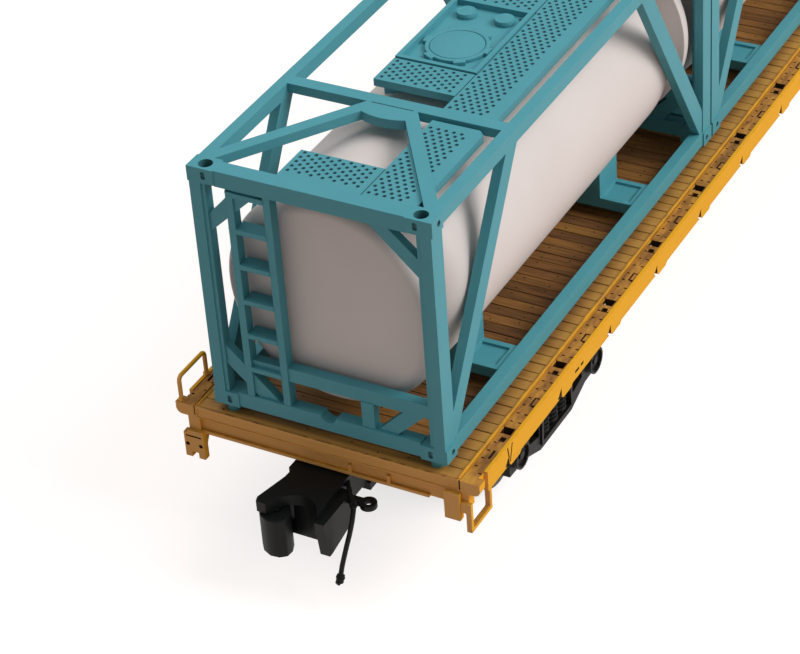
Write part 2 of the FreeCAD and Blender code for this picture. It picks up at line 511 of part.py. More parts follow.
def make_car_body():
    side = side_rail()
    keep("side_sill_right", side)
    keep("side_sill_left", turned(side, 180))
    end = end_sill()
    keep("end_sill_a", end)
    keep("end_sill_b", turned(end, 180))
    keep("deck_planks", box(-DECK_END + NOSE_LIP, DECK_END - NOSE_LIP, -PLANK_HALF, PLANK_HALF,
                            DECK_TOP - PLANK_THICK, DECK_TOP))
    keep("centre_sill", underframe())
    keep("cross_bearers", *cross_bearers())
    # grab irons: a wire loop on the left deck edge at each end
    x, y, rail_z = -DECK_END, DECK_HALF - 0.9, DECK_TOP - SIDE_RAIL_HEIGHT
    radius, feet = 0.45, (x + 0.9, x + 10.3)
    corners = [V(foot, y, DECK_TOP + 5.4) for foot in feet]
    loop = fuse([cyl(radius, 5.4, V(foot, y, DECK_TOP), V(0, 0, 1)) for foot in feet]
                + [Part.makeSphere(radius, corner) for corner in corners]
                + [cyl(radius, feet[1] - feet[0], corners[0], V(1, 0, 0))])
    keep("grab_irons", loop, turned(loop, 180))
    # sill steps: a strap stirrup below the right side at each end, its foot plate on the end sill
    step_z = DECK_TOP - 11.3
    y_out, y_mid, y_in = -END_SILL_HALF - 0.9, -END_SILL_HALF + 0.3, -END_SILL_HALF + 1.4
    step = fuse([box(x0, x1, y0, y1, z0, z1) for x0, x1, y0, y1, z0, z1 in (
        (x - 0.8, x + 0.1, y_out, y_mid, step_z, rail_z - 1.8),
        (x - 0.8, x + 0.1, y_mid, y_in, rail_z - 4.2, rail_z - 1.8),
        (x - 0.8, x + 7.8, y_out, y_mid, step_z, step_z + 0.9),
        (x + 6.9, x + 7.8, y_out, y_mid, step_z, rail_z))])
    keep("sill_steps", step, turned(step, 180))
    # end brackets: a two-legged casting under the left corner, and a pad below the right corner post
    low = DECK_TOP - END_SILL_DEPTH
    front, back, face = x - 0.9, x + 0.6, x + 0.1
    gusset = [(back, low), (back + 1.5, low), (back, low - 2.6)]
    y_in, y_out = END_SILL_HALF - 3.6, END_SILL_HALF + 0.9
    legs = fuse([box(front, face, y_in, END_SILL_HALF, low, low + 0.6),
                 box(front, back, y_in, y_out, low - 4.6, low),
                 box(front, back, y_in, y_in + 1.5, low - 5.9, low - 4.6),
                 box(front, back, y_out - 1.5, y_out, low - 5.9, low - 4.6),
                 plate_xz(gusset, y_in, y_in + 1.0), plate_xz(gusset, END_SILL_HALF - 1.0, END_SILL_HALF)])
    keep("end_brackets", legs, turned(legs, 180))
    pad_out, pad_in = -END_SILL_HALF + 1.4, -END_SILL_HALF + 4.8
    pad = fuse([box(x - 1.0, face, pad_out, pad_in, low - 2.7, rail_z),
                box(face, back, pad_out, pad_in, low - 2.7, low)])
    keep("end_pads", pad, turned(pad, 180))
    # brake gear under the deck, clear of the trucks
    under = DECK_TOP - PLANK_THICK
    cylinder = fuse([cyl(3.6, 12.0, V(16.0, -15.5, 21.0), V(1, 0, 0)),
                     cyl(4.2, 1.4, V(16.0, -15.5, 21.0), V(1, 0, 0)),
                     cyl(1.0, 6.5, V(28.0, -15.5, 21.0), V(1, 0, 0)),
                     box(18.0, 26.0, -18.0, -13.0, 21.0, under)])
    keep("brake_cylinder", cylinder)
    tank_body = fuse([cyl(4.0, 20.0, V(-34.0, 16.0, 21.0), V(1, 0, 0)),
                      box(-32.0, -30.0, 13.5, 18.5, 21.0, under), box(-18.0, -16.0, 13.5, 18.5, 21.0, under)])
    keep("air_reservoir", tank_body)
    valve = fuse([box(2.0, 9.0, 13.0, 19.0, 19.0, 25.0), box(3.5, 7.5, 14.5, 17.5, 25.0, under),
                  cyl(1.6, 2.0, V(5.5, 19.0, 22.0), V(0, 1, 0))])
    keep("brake_valve", valve)
    # hand brake: a wheel on the B end's sill
    hub = V(DECK_END, 18.0, DECK_TOP - 1.6)
    rim = Part.makeTorus(4.6, 0.45, V(hub.x + 3.0, hub.y, hub.z), V(1, 0, 0))
    spokes = [box(hub.x + 2.7, hub.x + 3.3, hub.y - 4.6, hub.y + 4.6, hub.z - 0.35, hub.z + 0.35),
              box(hub.x + 2.7, hub.x + 3.3, hub.y - 0.35, hub.y + 0.35, hub.z - 4.6, hub.z + 4.6)]
    wheel = fuse([rim, cyl(0.9, 3.6, V(hub.x, hub.y, hub.z), V(1, 0, 0))] + spokes)
    keep("brake_wheel", wheel)


# ---------------------------------------------------------------- trucks and couplers, at the A end
def wheelset(x):
    """Axle and its two wheels, as one turned solid."""
    back, face = WHEEL_BACK, WHEEL_BACK + WHEEL_WIDTH
    profile = [(0, 0), (0, AXLE_RADIUS + 0.5), (back, AXLE_RADIUS + 0.5), (back, FLANGE_RADIUS - 0.4),
               (back + 0.4, FLANGE_RADIUS), (back + FLANGE_WIDTH - 0.4, FLANGE_RADIUS),
               (back + FLANGE_WIDTH, TREAD_RADIUS), (face, TREAD_RADIUS - 0.15), (face, TREAD_RADIUS - 1.5),
               (face - 1.0, TREAD_RADIUS - 1.9), (face - 1.0, 3.2), (face, 2.8), (face, AXLE_RADIUS),
               (AXLE_END, AXLE_RADIUS), (AXLE_END, 0)]
    outline = Part.makePolygon([V(0, y, r) for y, r in profile + [profile[0]]])
    half = Part.Face(outline).revolve(V(0, 0, 0), V(0, 1, 0), 360)
    whole = fuse([half, flipped_y(half)])
    return moved(whole, x=x, z=AXLE_Z)


def truck_side():
    """Cast side frame of the -Y side about the truck's centre, with springs and bearing caps."""
    y_in, y_out = -FRAME_IN, -FRAME_IN - FRAME_THICK
    half = WHEELBASE / 2
    outline = [(-half - 3.9, 13.4), (-half + 3.4, 14.0), (-9.4, 17.6), (9.4, 17.6), (half - 3.4, 14.0),
               (half + 3.9, 13.4), (half + 3.9, 6.8), (half - 3.4, 6.4), (7.4, 3.8), (-7.4, 3.8),
               (-half + 3.4, 6.4), (-half - 3.9, 6.8)]
    body = plate_xz(outline, y_out, y_in)
    window = [(-6.6, 5.8), (6.6, 5.8), (6.0, 15.6), (-6.0, 15.6)]
    rim = [(-7.4, 5.0), (7.4, 5.0), (6.8, 16.4), (-6.8, 16.4)]
    rims = plate_xz(rim, y_out - 0.4, y_out).cut(plate_xz(window, y_out - 1, y_in + 1))
    lights = [plate_xz([(side * 8.0, 7.6), (side * 8.0, 15.0), (side * 12.6, 12.4), (side * 12.6, 8.6)],
                       y_out - 1, y_in + 1) for side in (1, -1)]
    bores = [cyl(AXLE_RADIUS + AXLE_CLEAR, FRAME_THICK, V(side * half, y_in + 0.5, AXLE_Z), V(0, -1, 0))
             for side in (1, -1)]
    body = body.cut(Part.makeCompound([plate_xz(window, y_out - 1, y_in + 1)] + lights + bores))
    caps = []
    for side in (1, -1):
        cap = cyl(CAP_RADIUS, CAP_OUT + y_out, V(side * half, y_out, AXLE_Z), V(0, -1, 0))
        dish = cyl(CAP_RADIUS - 0.5, 0.6, V(side * half, -CAP_OUT + 0.6, AXLE_Z), V(0, -1, 0))
        boss = cyl(0.9, 0.4, V(side * half, -CAP_OUT + 0.6, AXLE_Z), V(0, -1, 0))
        caps.append(fuse([cap.cut(dish), boss]))
    springs = [cyl(1.3, 5.9, V(x, y_out + FRAME_THICK / 2, 5.7), V(0, 0, 1)) for x in (-4.0, 0.0, 4.0)]
    return fuse([body, rims] + caps + springs)


def truck_bolster():
    """Bolster through both side frames, centre bowl, and the tongue that carries the coupler."""
    reach = FRAME_IN + FRAME_THICK - 0.2
    bar = box(-BOLSTER_HALF, BOLSTER_HALF, -reach, reach, 11.6, 15.4)
    top = box(-BOLSTER_HALF, BOLSTER_HALF, -FRAME_IN, FRAME_IN, 15.4, BOLSTER_TOP)
    bowl = cyl(BOWL_RADIUS, PIVOT_Z - BOLSTER_TOP, V(0, 0, BOLSTER_TOP), V(0, 0, 1))
    tongue = box(-PIN_X - 3.0, 0, -TONGUE_HALF, TONGUE_HALF, TONGUE_Z, TONGUE_Z + TONGUE_THICK)
    pin = cyl(PIN_RADIUS, SHANK_TOP + 0.6 - TONGUE_Z, V(-PIN_X, 0, TONGUE_Z), V(0, 0, 1))
    pin_head = cyl(PIN_RADIUS + 0.8, 0.6, V(-PIN_X, 0, SHANK_TOP + 0.2), V(0, 0, 1))
    return fuse([bar, top, bowl, tongue, pin, pin_head])


def coupler_body():
    """Coupler shank and head about the coupler's pin, pointing along -X."""
    plate_z = HEAD_TOP - HEAD_PLATE
    shank = box(-15.0, 3.6, -SHANK_HALF, SHANK_HALF, SHANK_Z, SHANK_TOP)
    stem = box(-14.0, -10.5, -4.8, 7.2, SHANK_Z, HEAD_TOP)
    top_plate = plate_xy([(-12.0, -4.8), (-12.0, 7.2), (-13.4, 7.2), (-14.8, 6.4), (-16.7, 6.5), (-24.2, 8.3),
                          (-25.4, 7.9), (-25.6, 5.8), (-25.0, 5.2), (-23.0, 4.4), (-21.5, 3.0), (-20.7, 1.4),
                          (-20.5, -0.2), (-20.8, -1.7), (-21.6, -3.0), (-22.7, -4.0), (-24.4, -4.8)],
                         plate_z, HEAD_TOP)
    block = plate_xy([(-12.0, -4.8), (-12.0, 6.4), (-18.8, 6.8), (-20.6, 3.8), (-20.5, -0.2), (-20.8, -1.7),
                      (-21.6, -3.0), (-22.7, -4.0), (-22.7, -4.8)], HEAD_BOTTOM + 1.4, plate_z)
    guard = plate_xz([(-14.0, 22.1), (-25.4, 22.1), (-24.2, HEAD_BOTTOM), (-23.2, HEAD_BOTTOM),
                      (-14.0, 15.6)], -6.8, -4.7)
    swing = cyl(KNUCKLE_REACH + KNUCKLE_CLEAR, plate_z - HEAD_BOTTOM, V(-KNUCKLE_X, KNUCKLE_Y, HEAD_BOTTOM),
                V(0, 0, 1))
    arm = fuse([box(-16.3, -14.7, -11.0, -6.0, 20.8, 21.9), cyl(1.7, 1.1, V(-15.5, -11.0, 20.8), V(0, 0, 1))])
    arm = arm.cut(cyl(0.8, 3, V(-15.5, -11.0, 20), V(0, 0, 1)))
    run = PIPE_END - V(-11.5, -4.2, 22.2)
    pipe = cyl(0.5, run.Length, V(-11.5, -4.2, 22.2), run)
    pin_low = KNUCKLE_LOW - 0.3
    pin = fuse([cyl(0.7, plate_z - pin_low, V(-KNUCKLE_X, KNUCKLE_Y, pin_low), V(0, 0, 1)),
                cyl(1.2, 0.5, V(-KNUCKLE_X, KNUCKLE_Y, pin_low - 0.5), V(0, 0, 1))])
    bore = cyl(PIN_RADIUS + 0.15, 10, V(0, 0, SHANK_Z - 1), V(0, 0, 1))
    return fuse([shank, stem, top_plate, block.cut(swing), guard, arm, pipe, pin]).cut(bore)


def knuckle():
    """Rounded knuckle under the head's top plate, bored for its pin."""
    x, y, r = -KNUCKLE_X, KNUCKLE_Y, KNUCKLE_REACH
    outline = [(x + 0.9 * r, y + 0.35 * r), (x + 0.55 * r, y + 0.8 * r), (x - 0.3 * r, y + 0.95 * r),
               (x - 0.8 * r, y + 0.55 * r), (x - 1.05 * r, y), (x - 1.0 * r, y - 0.55 * r),
               (x - 0.7 * r, y - 0.95 * r), (x - 0.2 * r, y - 1.0 * r), (x + 0.3 * r, y - 0.8 * r),
               (x + 0.9 * r, y - 0.35 * r)]
    shape = plate_xy(outline, KNUCKLE_LOW, HEAD_TOP - HEAD_PLATE - KNUCKLE_CLEAR)
    return shape.cut(cyl(0.85, HEAD_TOP, V(x, y, 0), V(0, 0, 1)))


def air_hose():
    """Moulded hose with its end fitting, hanging from the pipe beside the head."""
    path = [V(-18.0, -9.1, 22.2), V(-19.2, -9.7, 21.5), V(-20.4, -9.2, 17.0), V(-22.3, -8.1, 10.4),
            V(-22.9, -7.9, 8.2)]
    pieces = [Part.makeSphere(0.75, path[0])]
    for start, end in zip(path, path[1:]):
        run = end - start
        pieces += [cyl(0.45, run.Length, start, run), Part.makeSphere(0.45, end)]
    pieces += [cyl(0.8, 1.7, path[-1] + V(0.2, 0, 0.2), V(-0.35, 0.1, -1)),
               cyl(0.55, 1.6, path[-1] + V(0.5, 0, -0.9), V(-1, 0.2, -0.3))]
    return fuse(pieces)


def make_trucks():
    half = WHEELBASE / 2
    for letter, angle in (("a", 0), ("b", 180)):
        def place(shape, x=0.0):
            return turned(moved(shape, x=x - TRUCK_X), angle)

        side = truck_side()
        keep("truck_%s_bolster" % letter, place(truck_bolster()))
        keep("truck_%s_side_frames" % letter, place(side), place(flipped_y(side)))
        keep("wheelset_%s_outer" % letter, place(wheelset(-half)))
        keep("wheelset_%s_inner" % letter, place(wheelset(half)))
        keep("coupler_%s_body" % letter, place(coupler_body(), -PIN_X))
        keep("coupler_%s_knuckle" % letter, place(knuckle(), -PIN_X))
        keep("coupler_%s_hose" % letter, place(air_hose().cut(coupler_body()), -PIN_X))


make_car_body()
make_trucks()
for number in range(CONT_COUNT):
    make_container("container_%d" % (number + 1), -STACK / 2 + number * (CONT_LENGTH + CONT_GAP))

os.makedirs("parts", exist_ok=True)
for node_name, shape in nodes.items():
    shape.exportStep("parts/%s.step" % node_name)
    print(node_name, len(shape.Solids), round(shape.Volume, 1), shape.isValid())
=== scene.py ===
import bpy
import bmesh
import json
import math
from mathutils import Euler, Matrix, Vector


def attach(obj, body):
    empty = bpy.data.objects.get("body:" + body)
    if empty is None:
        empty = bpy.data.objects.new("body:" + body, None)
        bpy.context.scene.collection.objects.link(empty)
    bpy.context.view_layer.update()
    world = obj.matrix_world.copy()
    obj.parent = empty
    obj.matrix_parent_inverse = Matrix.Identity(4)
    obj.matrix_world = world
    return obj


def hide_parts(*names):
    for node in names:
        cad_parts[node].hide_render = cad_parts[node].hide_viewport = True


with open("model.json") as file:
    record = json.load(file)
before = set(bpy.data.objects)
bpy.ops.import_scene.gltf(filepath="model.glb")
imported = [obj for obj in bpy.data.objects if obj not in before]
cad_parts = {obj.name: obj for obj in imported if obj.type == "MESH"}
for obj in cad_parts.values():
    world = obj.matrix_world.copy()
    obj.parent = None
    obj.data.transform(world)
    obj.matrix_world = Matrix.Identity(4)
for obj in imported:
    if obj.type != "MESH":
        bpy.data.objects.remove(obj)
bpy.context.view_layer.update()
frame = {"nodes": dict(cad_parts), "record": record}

MM = 0.001

# ------------------------------------------------------------------ sizes shared with the car, in mm
DECK_TOP = 30.3
DECK_END = 191.1           # from the middle of the car
PLANK_HALF = 29.2
PLANK_END = DECK_END - 0.5
BOARD_HALF = 28.2          # boards stop short of the bead
BOARD_COUNT = 128
BOARD_PITCH = 2 * PLANK_END / BOARD_COUNT
BOARD_GAP = 0.11           # from a board to its half of the joint
SILL_FACE = 32.8
SILL_LOW = 25.8
CORNER = 3.0               # corner block, along the car
POCKET_COUNT = 16
POCKET_START = 17.5        # first stake pocket, from the deck's end
POCKET_PITCH = (2 * DECK_END - 2 * POCKET_START) / (POCKET_COUNT - 1)
POCKET_Y = -30.3
OUTER_SLOTS = -31.5        # rows of short slots in the right side rail
INNER_SLOTS = -29.8
CONT_STEP = 126.9          # from one container to the next
CONT_START = -190.0
CONT_SIDE = -0.8
CONT_Z = 32.1
CONT_LENGTH = 126.2
CONT_MID = CONT_LENGTH / 2
CONT_TOP = 54.0            # top of the castings, above the containers' feet
CAST_HOLE = (2.0, 22.3)    # round hole, from the container's end and its middle
CROSS_X = 32.8             # roof cross member, from the container's end
WALK_TOP = 53.4            # walkways, above the containers' feet
WALK_HALF = 8.8            # half width of the cross panels, where the long strip starts
PANEL_X = 13.7             # near cross panel's inner edge, from the container's end
WALK_X = 41.45             # middle cross panel's outer edge, likewise
BOX_X = 50.2               # spill box's outer edge, likewise
TANK_RADIUS = 22.6
TANK_Z = 27.0
MANHOLE_X = 3.6            # manhole from the container's middle, towards its near end
CAP_X = 8.6                # valve caps from the middle, towards the far end
CAP_Y = 4.2
TRUCK_X = 139.0
AXLE_X = 17.5              # axles from the truck's middle
AXLE_Z = 10.0
COUPLER_X = 179.0          # coupler's pin


# ------------------------------------------------------------------ finishes
def linear(code):
    """An sRGB hex colour as linear RGBA."""
    parts = [int(code[i:i + 2], 16) / 255.0 for i in (1, 3, 5)]
    return tuple(v / 12.92 if v <= 0.04045 else ((v + 0.055) / 1.055) ** 2.4 for v in parts) + (1.0,)


def add(tree, kind, values=None, links=None, **settings):
    """Adds a node with its settings, socket values and links."""
    made = tree.nodes.new(kind)
    for key, value in settings.items():
        setattr(made, key, value)
    for key, value in (values or {}).items():
        made.inputs[key].default_value = value
    for key, source in (links or {}).items():
        tree.links.new(source, made.inputs[key])
    return made


def finish_of(name, roughness, metallic=0.0, ior=1.5):
    """A new material: itself, its tree, its shader, and the point on the model in metres."""
    made = bpy.data.materials.new(name)
    made.use_nodes = True
    tree = made.node_tree
    shader = tree.nodes["Principled BSDF"]
    shader.inputs["Roughness"].default_value = roughness
    shader.inputs["Metallic"].default_value = metallic
    if metallic == 0.0:
        shader.inputs["IOR"].default_value = ior
    place = add(tree, "ShaderNodeTexCoord").outputs["Object"]
    return made, tree, shader, place


def two_tones(tree, shader, first, second, pattern):
    """Runs the surface's colour between two by a pattern."""
    tone = add(tree, "ShaderNodeMix", {6: linear(first), 7: linear(second)}, {0: pattern.outputs["Fac"]},
               data_type="RGBA")
    tree.links.new(tone.outputs[2], shader.inputs["Base Color"])


def relief(tree, shader, pattern, strength, depth):
    """Raises a pattern on the surface by a depth in mm."""
    bump = add(tree, "ShaderNodeBump", {"Strength": strength, "Distance": depth * MM},
               {"Height": pattern.outputs["Fac"]})
    tree.links.new(bump.outputs["Normal"], shader.inputs["Normal"])


def sprayed_tank_shell():
    # Injection-moulded ABS under a sprayed satin pale grey lacquer. The spray leaves a faint orange
    # peel about 0.5 mm across, and thinner and thicker patches some 15 mm wide shift the tone a little.
    made, tree, shader, place = finish_of("satin lacquered ABS, pale grey", 0.50, ior=1.46)
    patches = add(tree, "ShaderNodeTexNoise", {"Scale": 1 / (15 * MM), "Detail": 2.0}, {"Vector": place})
    two_tones(tree, shader, "#D5CAC6", "#DDD4D0", patches)
    peel = add(tree, "ShaderNodeTexNoise", {"Scale": 1 / (0.5 * MM), "Detail": 1.0}, {"Vector": place})
    relief(tree, shader, peel, 0.06, 0.02)
    return made


def moulded_frame():
    # ABS moulded in a teal colour and left bare: a dull satin skin from a fine-blasted tool, with faint
    # flow marks some 8 mm long and a grain of about 0.15 mm, drawn at 0.3 mm so that it shows.
    made, tree, shader, place = finish_of("moulded ABS, teal", 0.58, ior=1.46)
    flow = add(tree, "ShaderNodeTexNoise", {"Scale": 1 / (8 * MM), "Detail": 3.0}, {"Vector": place})
    two_tones(tree, shader, "#45919D", "#4E9AA5", flow)
    grain = add(tree, "ShaderNodeTexNoise", {"Scale": 1 / (0.3 * MM), "Detail": 1.0}, {"Vector": place})
    relief(tree, shader, grain, 0.08, 0.02)
    return made


def board_finish():
    # ABS moulded as planks, brushed with brown paint and a dark wash: streaks run along each board,
    # which lies across the car, and every board, 3 mm wide, takes the paint a little differently. Near the
    # edges of the deck, out of the containers' shade, the last few mm are painted a lighter ochre: painted
    # light.
    made, tree, shader, place = finish_of("brushed and washed ABS planks", 0.62, ior=1.5)
    stretched = add(tree, "ShaderNodeMapping", {"Scale": (1 / (0.45 * MM), 1 / (9 * MM), 1 / (0.45 * MM))},
                    {"Vector": place})
    streaks = add(tree, "ShaderNodeTexNoise", {"Scale": 1.0, "Detail": 4.0, "Roughness": 0.65},
                  {"Vector": stretched.outputs["Vector"]})
    apart = add(tree, "ShaderNodeSeparateXYZ", None, {"Vector": place})
    number = add(tree, "ShaderNodeMath", {1: BOARD_PITCH * MM}, {0: apart.outputs["X"]}, operation="SNAP")
    each = add(tree, "ShaderNodeTexWhiteNoise", None, {"W": number.outputs[0]}, noise_dimensions="1D")
    wear = add(tree, "ShaderNodeMath", {1: 0.35}, {0: each.outputs["Value"]}, operation="MULTIPLY")
    mixed = add(tree, "ShaderNodeMath", None, {0: streaks.outputs["Fac"], 1: wear.outputs[0]},
                operation="ADD")
    tone = add(tree, "ShaderNodeValToRGB", None, {"Fac": mixed.outputs[0]})
    ramp = tone.color_ramp
    ramp.elements[0].position, ramp.elements[0].color = 0.30, linear("#4A2F18")
    ramp.elements[1].position, ramp.elements[1].color = 0.95, linear("#A97737")
    middle = ramp.elements.new(0.62)
    middle.color = linear("#80562C")
    lit_edge_reach = []
    # painted light: a mask for the deck's edges, out of the containers' shade
    for axis, start, stop in (("Y", 24.0, 27.2), ("X", 186.0, 189.5)):
        aside = add(tree, "ShaderNodeMath", None, {0: apart.outputs[axis]}, operation="ABSOLUTE")
        lit_edge_reach.append(add(tree, "ShaderNodeMapRange", {"From Min": start * MM, "From Max": stop * MM},
                         {"Value": aside.outputs[0]}).outputs[0])
    lit_edge_mask = add(tree, "ShaderNodeMath", None, {0: lit_edge_reach[0], 1: lit_edge_reach[1]}, operation="MAXIMUM")
    # the lighter ochre of the boards in the light: painted light
    ochre = add(tree, "ShaderNodeMix", {6: linear("#95652F"), 7: linear("#C08C3B")},
                {0: mixed.outputs[0]}, data_type="RGBA")
    whole = add(tree, "ShaderNodeMix", None,
                {0: lit_edge_mask.outputs[0], 6: tone.outputs["Color"], 7: ochre.outputs[2]}, data_type="RGBA")
    tree.links.new(whole.outputs[2], shader.inputs["Base Color"])
    relief(tree, shader, streaks, 0.35, 0.06)
    return made


def car_enamel():
    # Die-cast zinc under dull baked yellow-orange enamel. A thin brown wash has settled on the faces
    # that lie flat, in patches some 4 mm wide, so tops look duller and darker than the upright sides.
    # Wiping it along the car has left faint streaks 0.8 mm high on the sides and none on the outer edge.
    # The faces that look along the car, away from the lamps, are painted a paler tan, which takes the edge
    # off the yellow there: painted light.
    made, tree, shader, place = finish_of("enamelled die-cast zinc, yellow", 0.68, ior=1.38)
    facing = add(tree, "ShaderNodeNewGeometry")
    apart = add(tree, "ShaderNodeSeparateXYZ", None, {"Vector": facing.outputs["Normal"]})
    patches = add(tree, "ShaderNodeTexNoise", {"Scale": 1 / (4 * MM), "Detail": 4.0, "Roughness": 0.6},
                  {"Vector": place})
    spot = add(tree, "ShaderNodeSeparateXYZ", None, {"Vector": place})
    aside = add(tree, "ShaderNodeMath", None, {0: spot.outputs["Y"]}, operation="ABSOLUTE")
    inside = add(tree, "ShaderNodeMath", {1: 32.0 * MM}, {0: aside.outputs[0]}, operation="LESS_THAN")
    upward = add(tree, "ShaderNodeMath", None, {0: apart.outputs["Z"], 1: inside.outputs[0]},
                 operation="MULTIPLY", use_clamp=True)
    settled = add(tree, "ShaderNodeMath", None, {0: upward.outputs[0], 1: patches.outputs["Fac"]},
                  operation="MULTIPLY", use_clamp=True)
    wiped = add(tree, "ShaderNodeMapping", {"Scale": (1 / (14 * MM), 1 / (14 * MM), 1 / (0.8 * MM))},
                {"Vector": place})
    streaks = add(tree, "ShaderNodeTexNoise", {"Scale": 1.0, "Detail": 3.0},
                  {"Vector": wiped.outputs["Vector"]})
    thin = add(tree, "ShaderNodeMath", {1: 0.2}, {0: streaks.outputs["Fac"]}, operation="MULTIPLY")
    wash = add(tree, "ShaderNodeMath", {1: 1.2}, {0: settled.outputs[0], 2: thin.outputs[0]},
               operation="MULTIPLY_ADD", use_clamp=True)
    tone = add(tree, "ShaderNodeMix", {6: linear("#F2AD12"), 7: linear("#8E6430")},
               {0: wash.outputs[0]}, data_type="RGBA")
    # painted light: faces that look along the car are mixed towards a paler tan
    endward = add(tree, "ShaderNodeMath", None, {0: apart.outputs["X"]}, operation="ABSOLUTE")
    end_face_light = add(tree, "ShaderNodeMath", {1: 0.8}, {0: endward.outputs[0]},
                 operation="MULTIPLY", use_clamp=True)
    end_face_lit_tone = add(tree, "ShaderNodeMix", {7: linear("#E2A968")}, {0: end_face_light.outputs[0], 6: tone.outputs[2]},
                data_type="RGBA")
    tree.links.new(end_face_lit_tone.outputs[2], shader.inputs["Base Color"])
    peel = add(tree, "ShaderNodeTexNoise", {"Scale": 1 / (0.4 * MM), "Detail": 1.0}, {"Vector": place})
    relief(tree, shader, peel, 0.06, 0.02)
    return made


def settled_wash():
    # The same yellow enamel where the brown wash has pooled along the rail's channel and dried matt:
    # ochre where it lies thin, brown where it is thick, in patches 2 mm wide drawn out along the rail.
    made, tree, shader, place = finish_of("yellow enamel under pooled brown wash", 0.65, ior=1.46)
    drawn = add(tree, "ShaderNodeMapping", {"Scale": (1 / (6 * MM), 1 / (2 * MM), 1 / (2 * MM))},
                {"Vector": place})
    pools = add(tree, "ShaderNodeTexNoise", {"Scale": 1.0, "Detail": 5.0, "Roughness": 0.65},
                {"Vector": drawn.outputs["Vector"]})
    tone = add(tree, "ShaderNodeValToRGB", None, {"Fac": pools.outputs["Fac"]})
    ramp = tone.color_ramp
    ramp.elements[0].position, ramp.elements[0].color = 0.34, linear("#7A4E1F")
    ramp.elements[1].position, ramp.elements[1].color = 0.66, linear("#C98F33")
    middle = ramp.elements.new(0.50)
    middle.color = linear("#A56F2C")
    tree.links.new(tone.outputs["Color"], shader.inputs["Base Color"])
    relief(tree, shader, pools, 0.2, 0.05)
    return made


def wheel_metal():
    # Turned steel, chemically blackened: a dark metal, blotchy over some 3 mm, with soft highlights.
    made, tree, shader, place = finish_of("blackened turned steel", 0.34, metallic=1.0)
    patches = add(tree, "ShaderNodeTexNoise", {"Scale": 1 / (3 * MM), "Detail": 3.0}, {"Vector": place})
    two_tones(tree, shader, "#2B2A29", "#403E3C", patches)
    return made


def casting_enamel(name, dark, light, roughness):
    # Die-cast zinc with the sand-cast look of the real truck, under thin satin black enamel: a low relief of
    # about 0.6 mm in the casting breaks up the highlights, and dust greys the raised parts slightly.
    made, tree, shader, place = finish_of(name, roughness, ior=1.25)
    sand = add(tree, "ShaderNodeTexNoise", {"Scale": 1 / (0.6 * MM), "Detail": 3.0}, {"Vector": place})
    two_tones(tree, shader, dark, light, sand)
    relief(tree, shader, sand, 0.18, 0.04)
    return made


def hollow_wash_and_shade():
    # Matt dark brown in the moulded holes, pockets and joints: thinned wash that has dried there, painted
    # darker still as the shade that falls in these hollows, so a wash and painted shade.
    made, tree, shader, place = finish_of("matt brown wash in the hollows", 0.85, ior=1.33)
    patches = add(tree, "ShaderNodeTexNoise", {"Scale": 1 / (1.5 * MM), "Detail": 2.0}, {"Vector": place})
    two_tones(tree, shader, "#2C1B0D", "#49301A", patches)
    return made


def hole_shade_teal():
    # The same teal ABS inside the tread holes and the other small holes and seams, where the tool left a
    # rougher skin; it is painted a darker teal as the shade inside them: painted shade.
    made, tree, shader, place = finish_of("rough ABS in the tread holes, dark teal", 0.7, ior=1.54)
    grain = add(tree, "ShaderNodeTexNoise", {"Scale": 1 / (0.3 * MM), "Detail": 1.0}, {"Vector": place})
    two_tones(tree, shader, "#2C6068", "#37727A", grain)
    return made


FINISH = {
    "tank_shell": sprayed_tank_shell(),
    "container_frame": moulded_frame(),
    "deck_boards": board_finish(),
    "car_body": car_enamel(),
    "wheels": wheel_metal(),
    "truck_castings": casting_enamel("satin black enamelled zinc, trucks", "#0F100F", "#1B1C1A", 0.46),
    "couplers": casting_enamel("satin black enamelled zinc, couplers", "#0B0E0D", "#131615", 0.46),
    "channel": settled_wash(),
    # wash: brown wash and painted shade in the hollows of the car body
    "wash": hollow_wash_and_shade(),
    # hole: teal with painted shade inside holes and seams
    "hole": hole_shade_teal(),
}

SLOT = {sub["node"]: sub["material_slot"] for sub in frame["record"]["subparts"]}
BODY = {node: body for body, members in frame["record"]["behaviour"]["bodies"].items() for node in members}


# ------------------------------------------------------------------ mesh tools
def piece(name, shape, materials):
    """A bmesh made into an object, in metres, with its materials."""
    mesh = bpy.data.meshes.new(name)
    bmesh.ops.recalc_face_normals(shape, faces=shape.faces)
    shape.to_mesh(mesh)
    shape.free()
    for material in materials:
        mesh.materials.append(material)
    made = bpy.data.objects.new(name, mesh)
    bpy.context.scene.collection.objects.link(made)
    return made


def block(shape, low, high):
    """Adds a box between two corners in mm."""
    spots = [(x, y, z) for x in (low[0], high[0]) for y in (low[1], high[1]) for z in (low[2], high[2])]
    v = [shape.verts.new(Vector(spot) * MM) for spot in spots]
    for loop in ((0, 1, 3, 2), (4, 6, 7, 5), (0, 4, 5, 1), (2, 3, 7, 6), (0, 2, 6, 4), (1, 5, 7, 3)):
        shape.faces.new([v[i] for i in loop])


def rod(shape, start, end, radius, sides=10, end_radius=None):
    """Adds a round bar between two points in mm."""
    start, end = Vector(start), Vector(end)
    turn = (end - start).to_track_quat("Z", "Y")
    rings = []
    for centre, r in ((start, radius), (end, radius if end_radius is None else end_radius)):
        ring = []
        for i in range(sides):
            angle = 2 * math.pi * i / sides
            out = turn @ Vector((math.cos(angle), math.sin(angle), 0)) * r
            ring.append(shape.verts.new((centre + out) * MM))
        rings.append(ring)
    for i in range(sides):
        j = (i + 1) % sides
        shape.faces.new([rings[0][i], rings[0][j], rings[1][j], rings[1][i]])
    shape.faces.new(rings[0][::-1])
    shape.faces.new(rings[1])


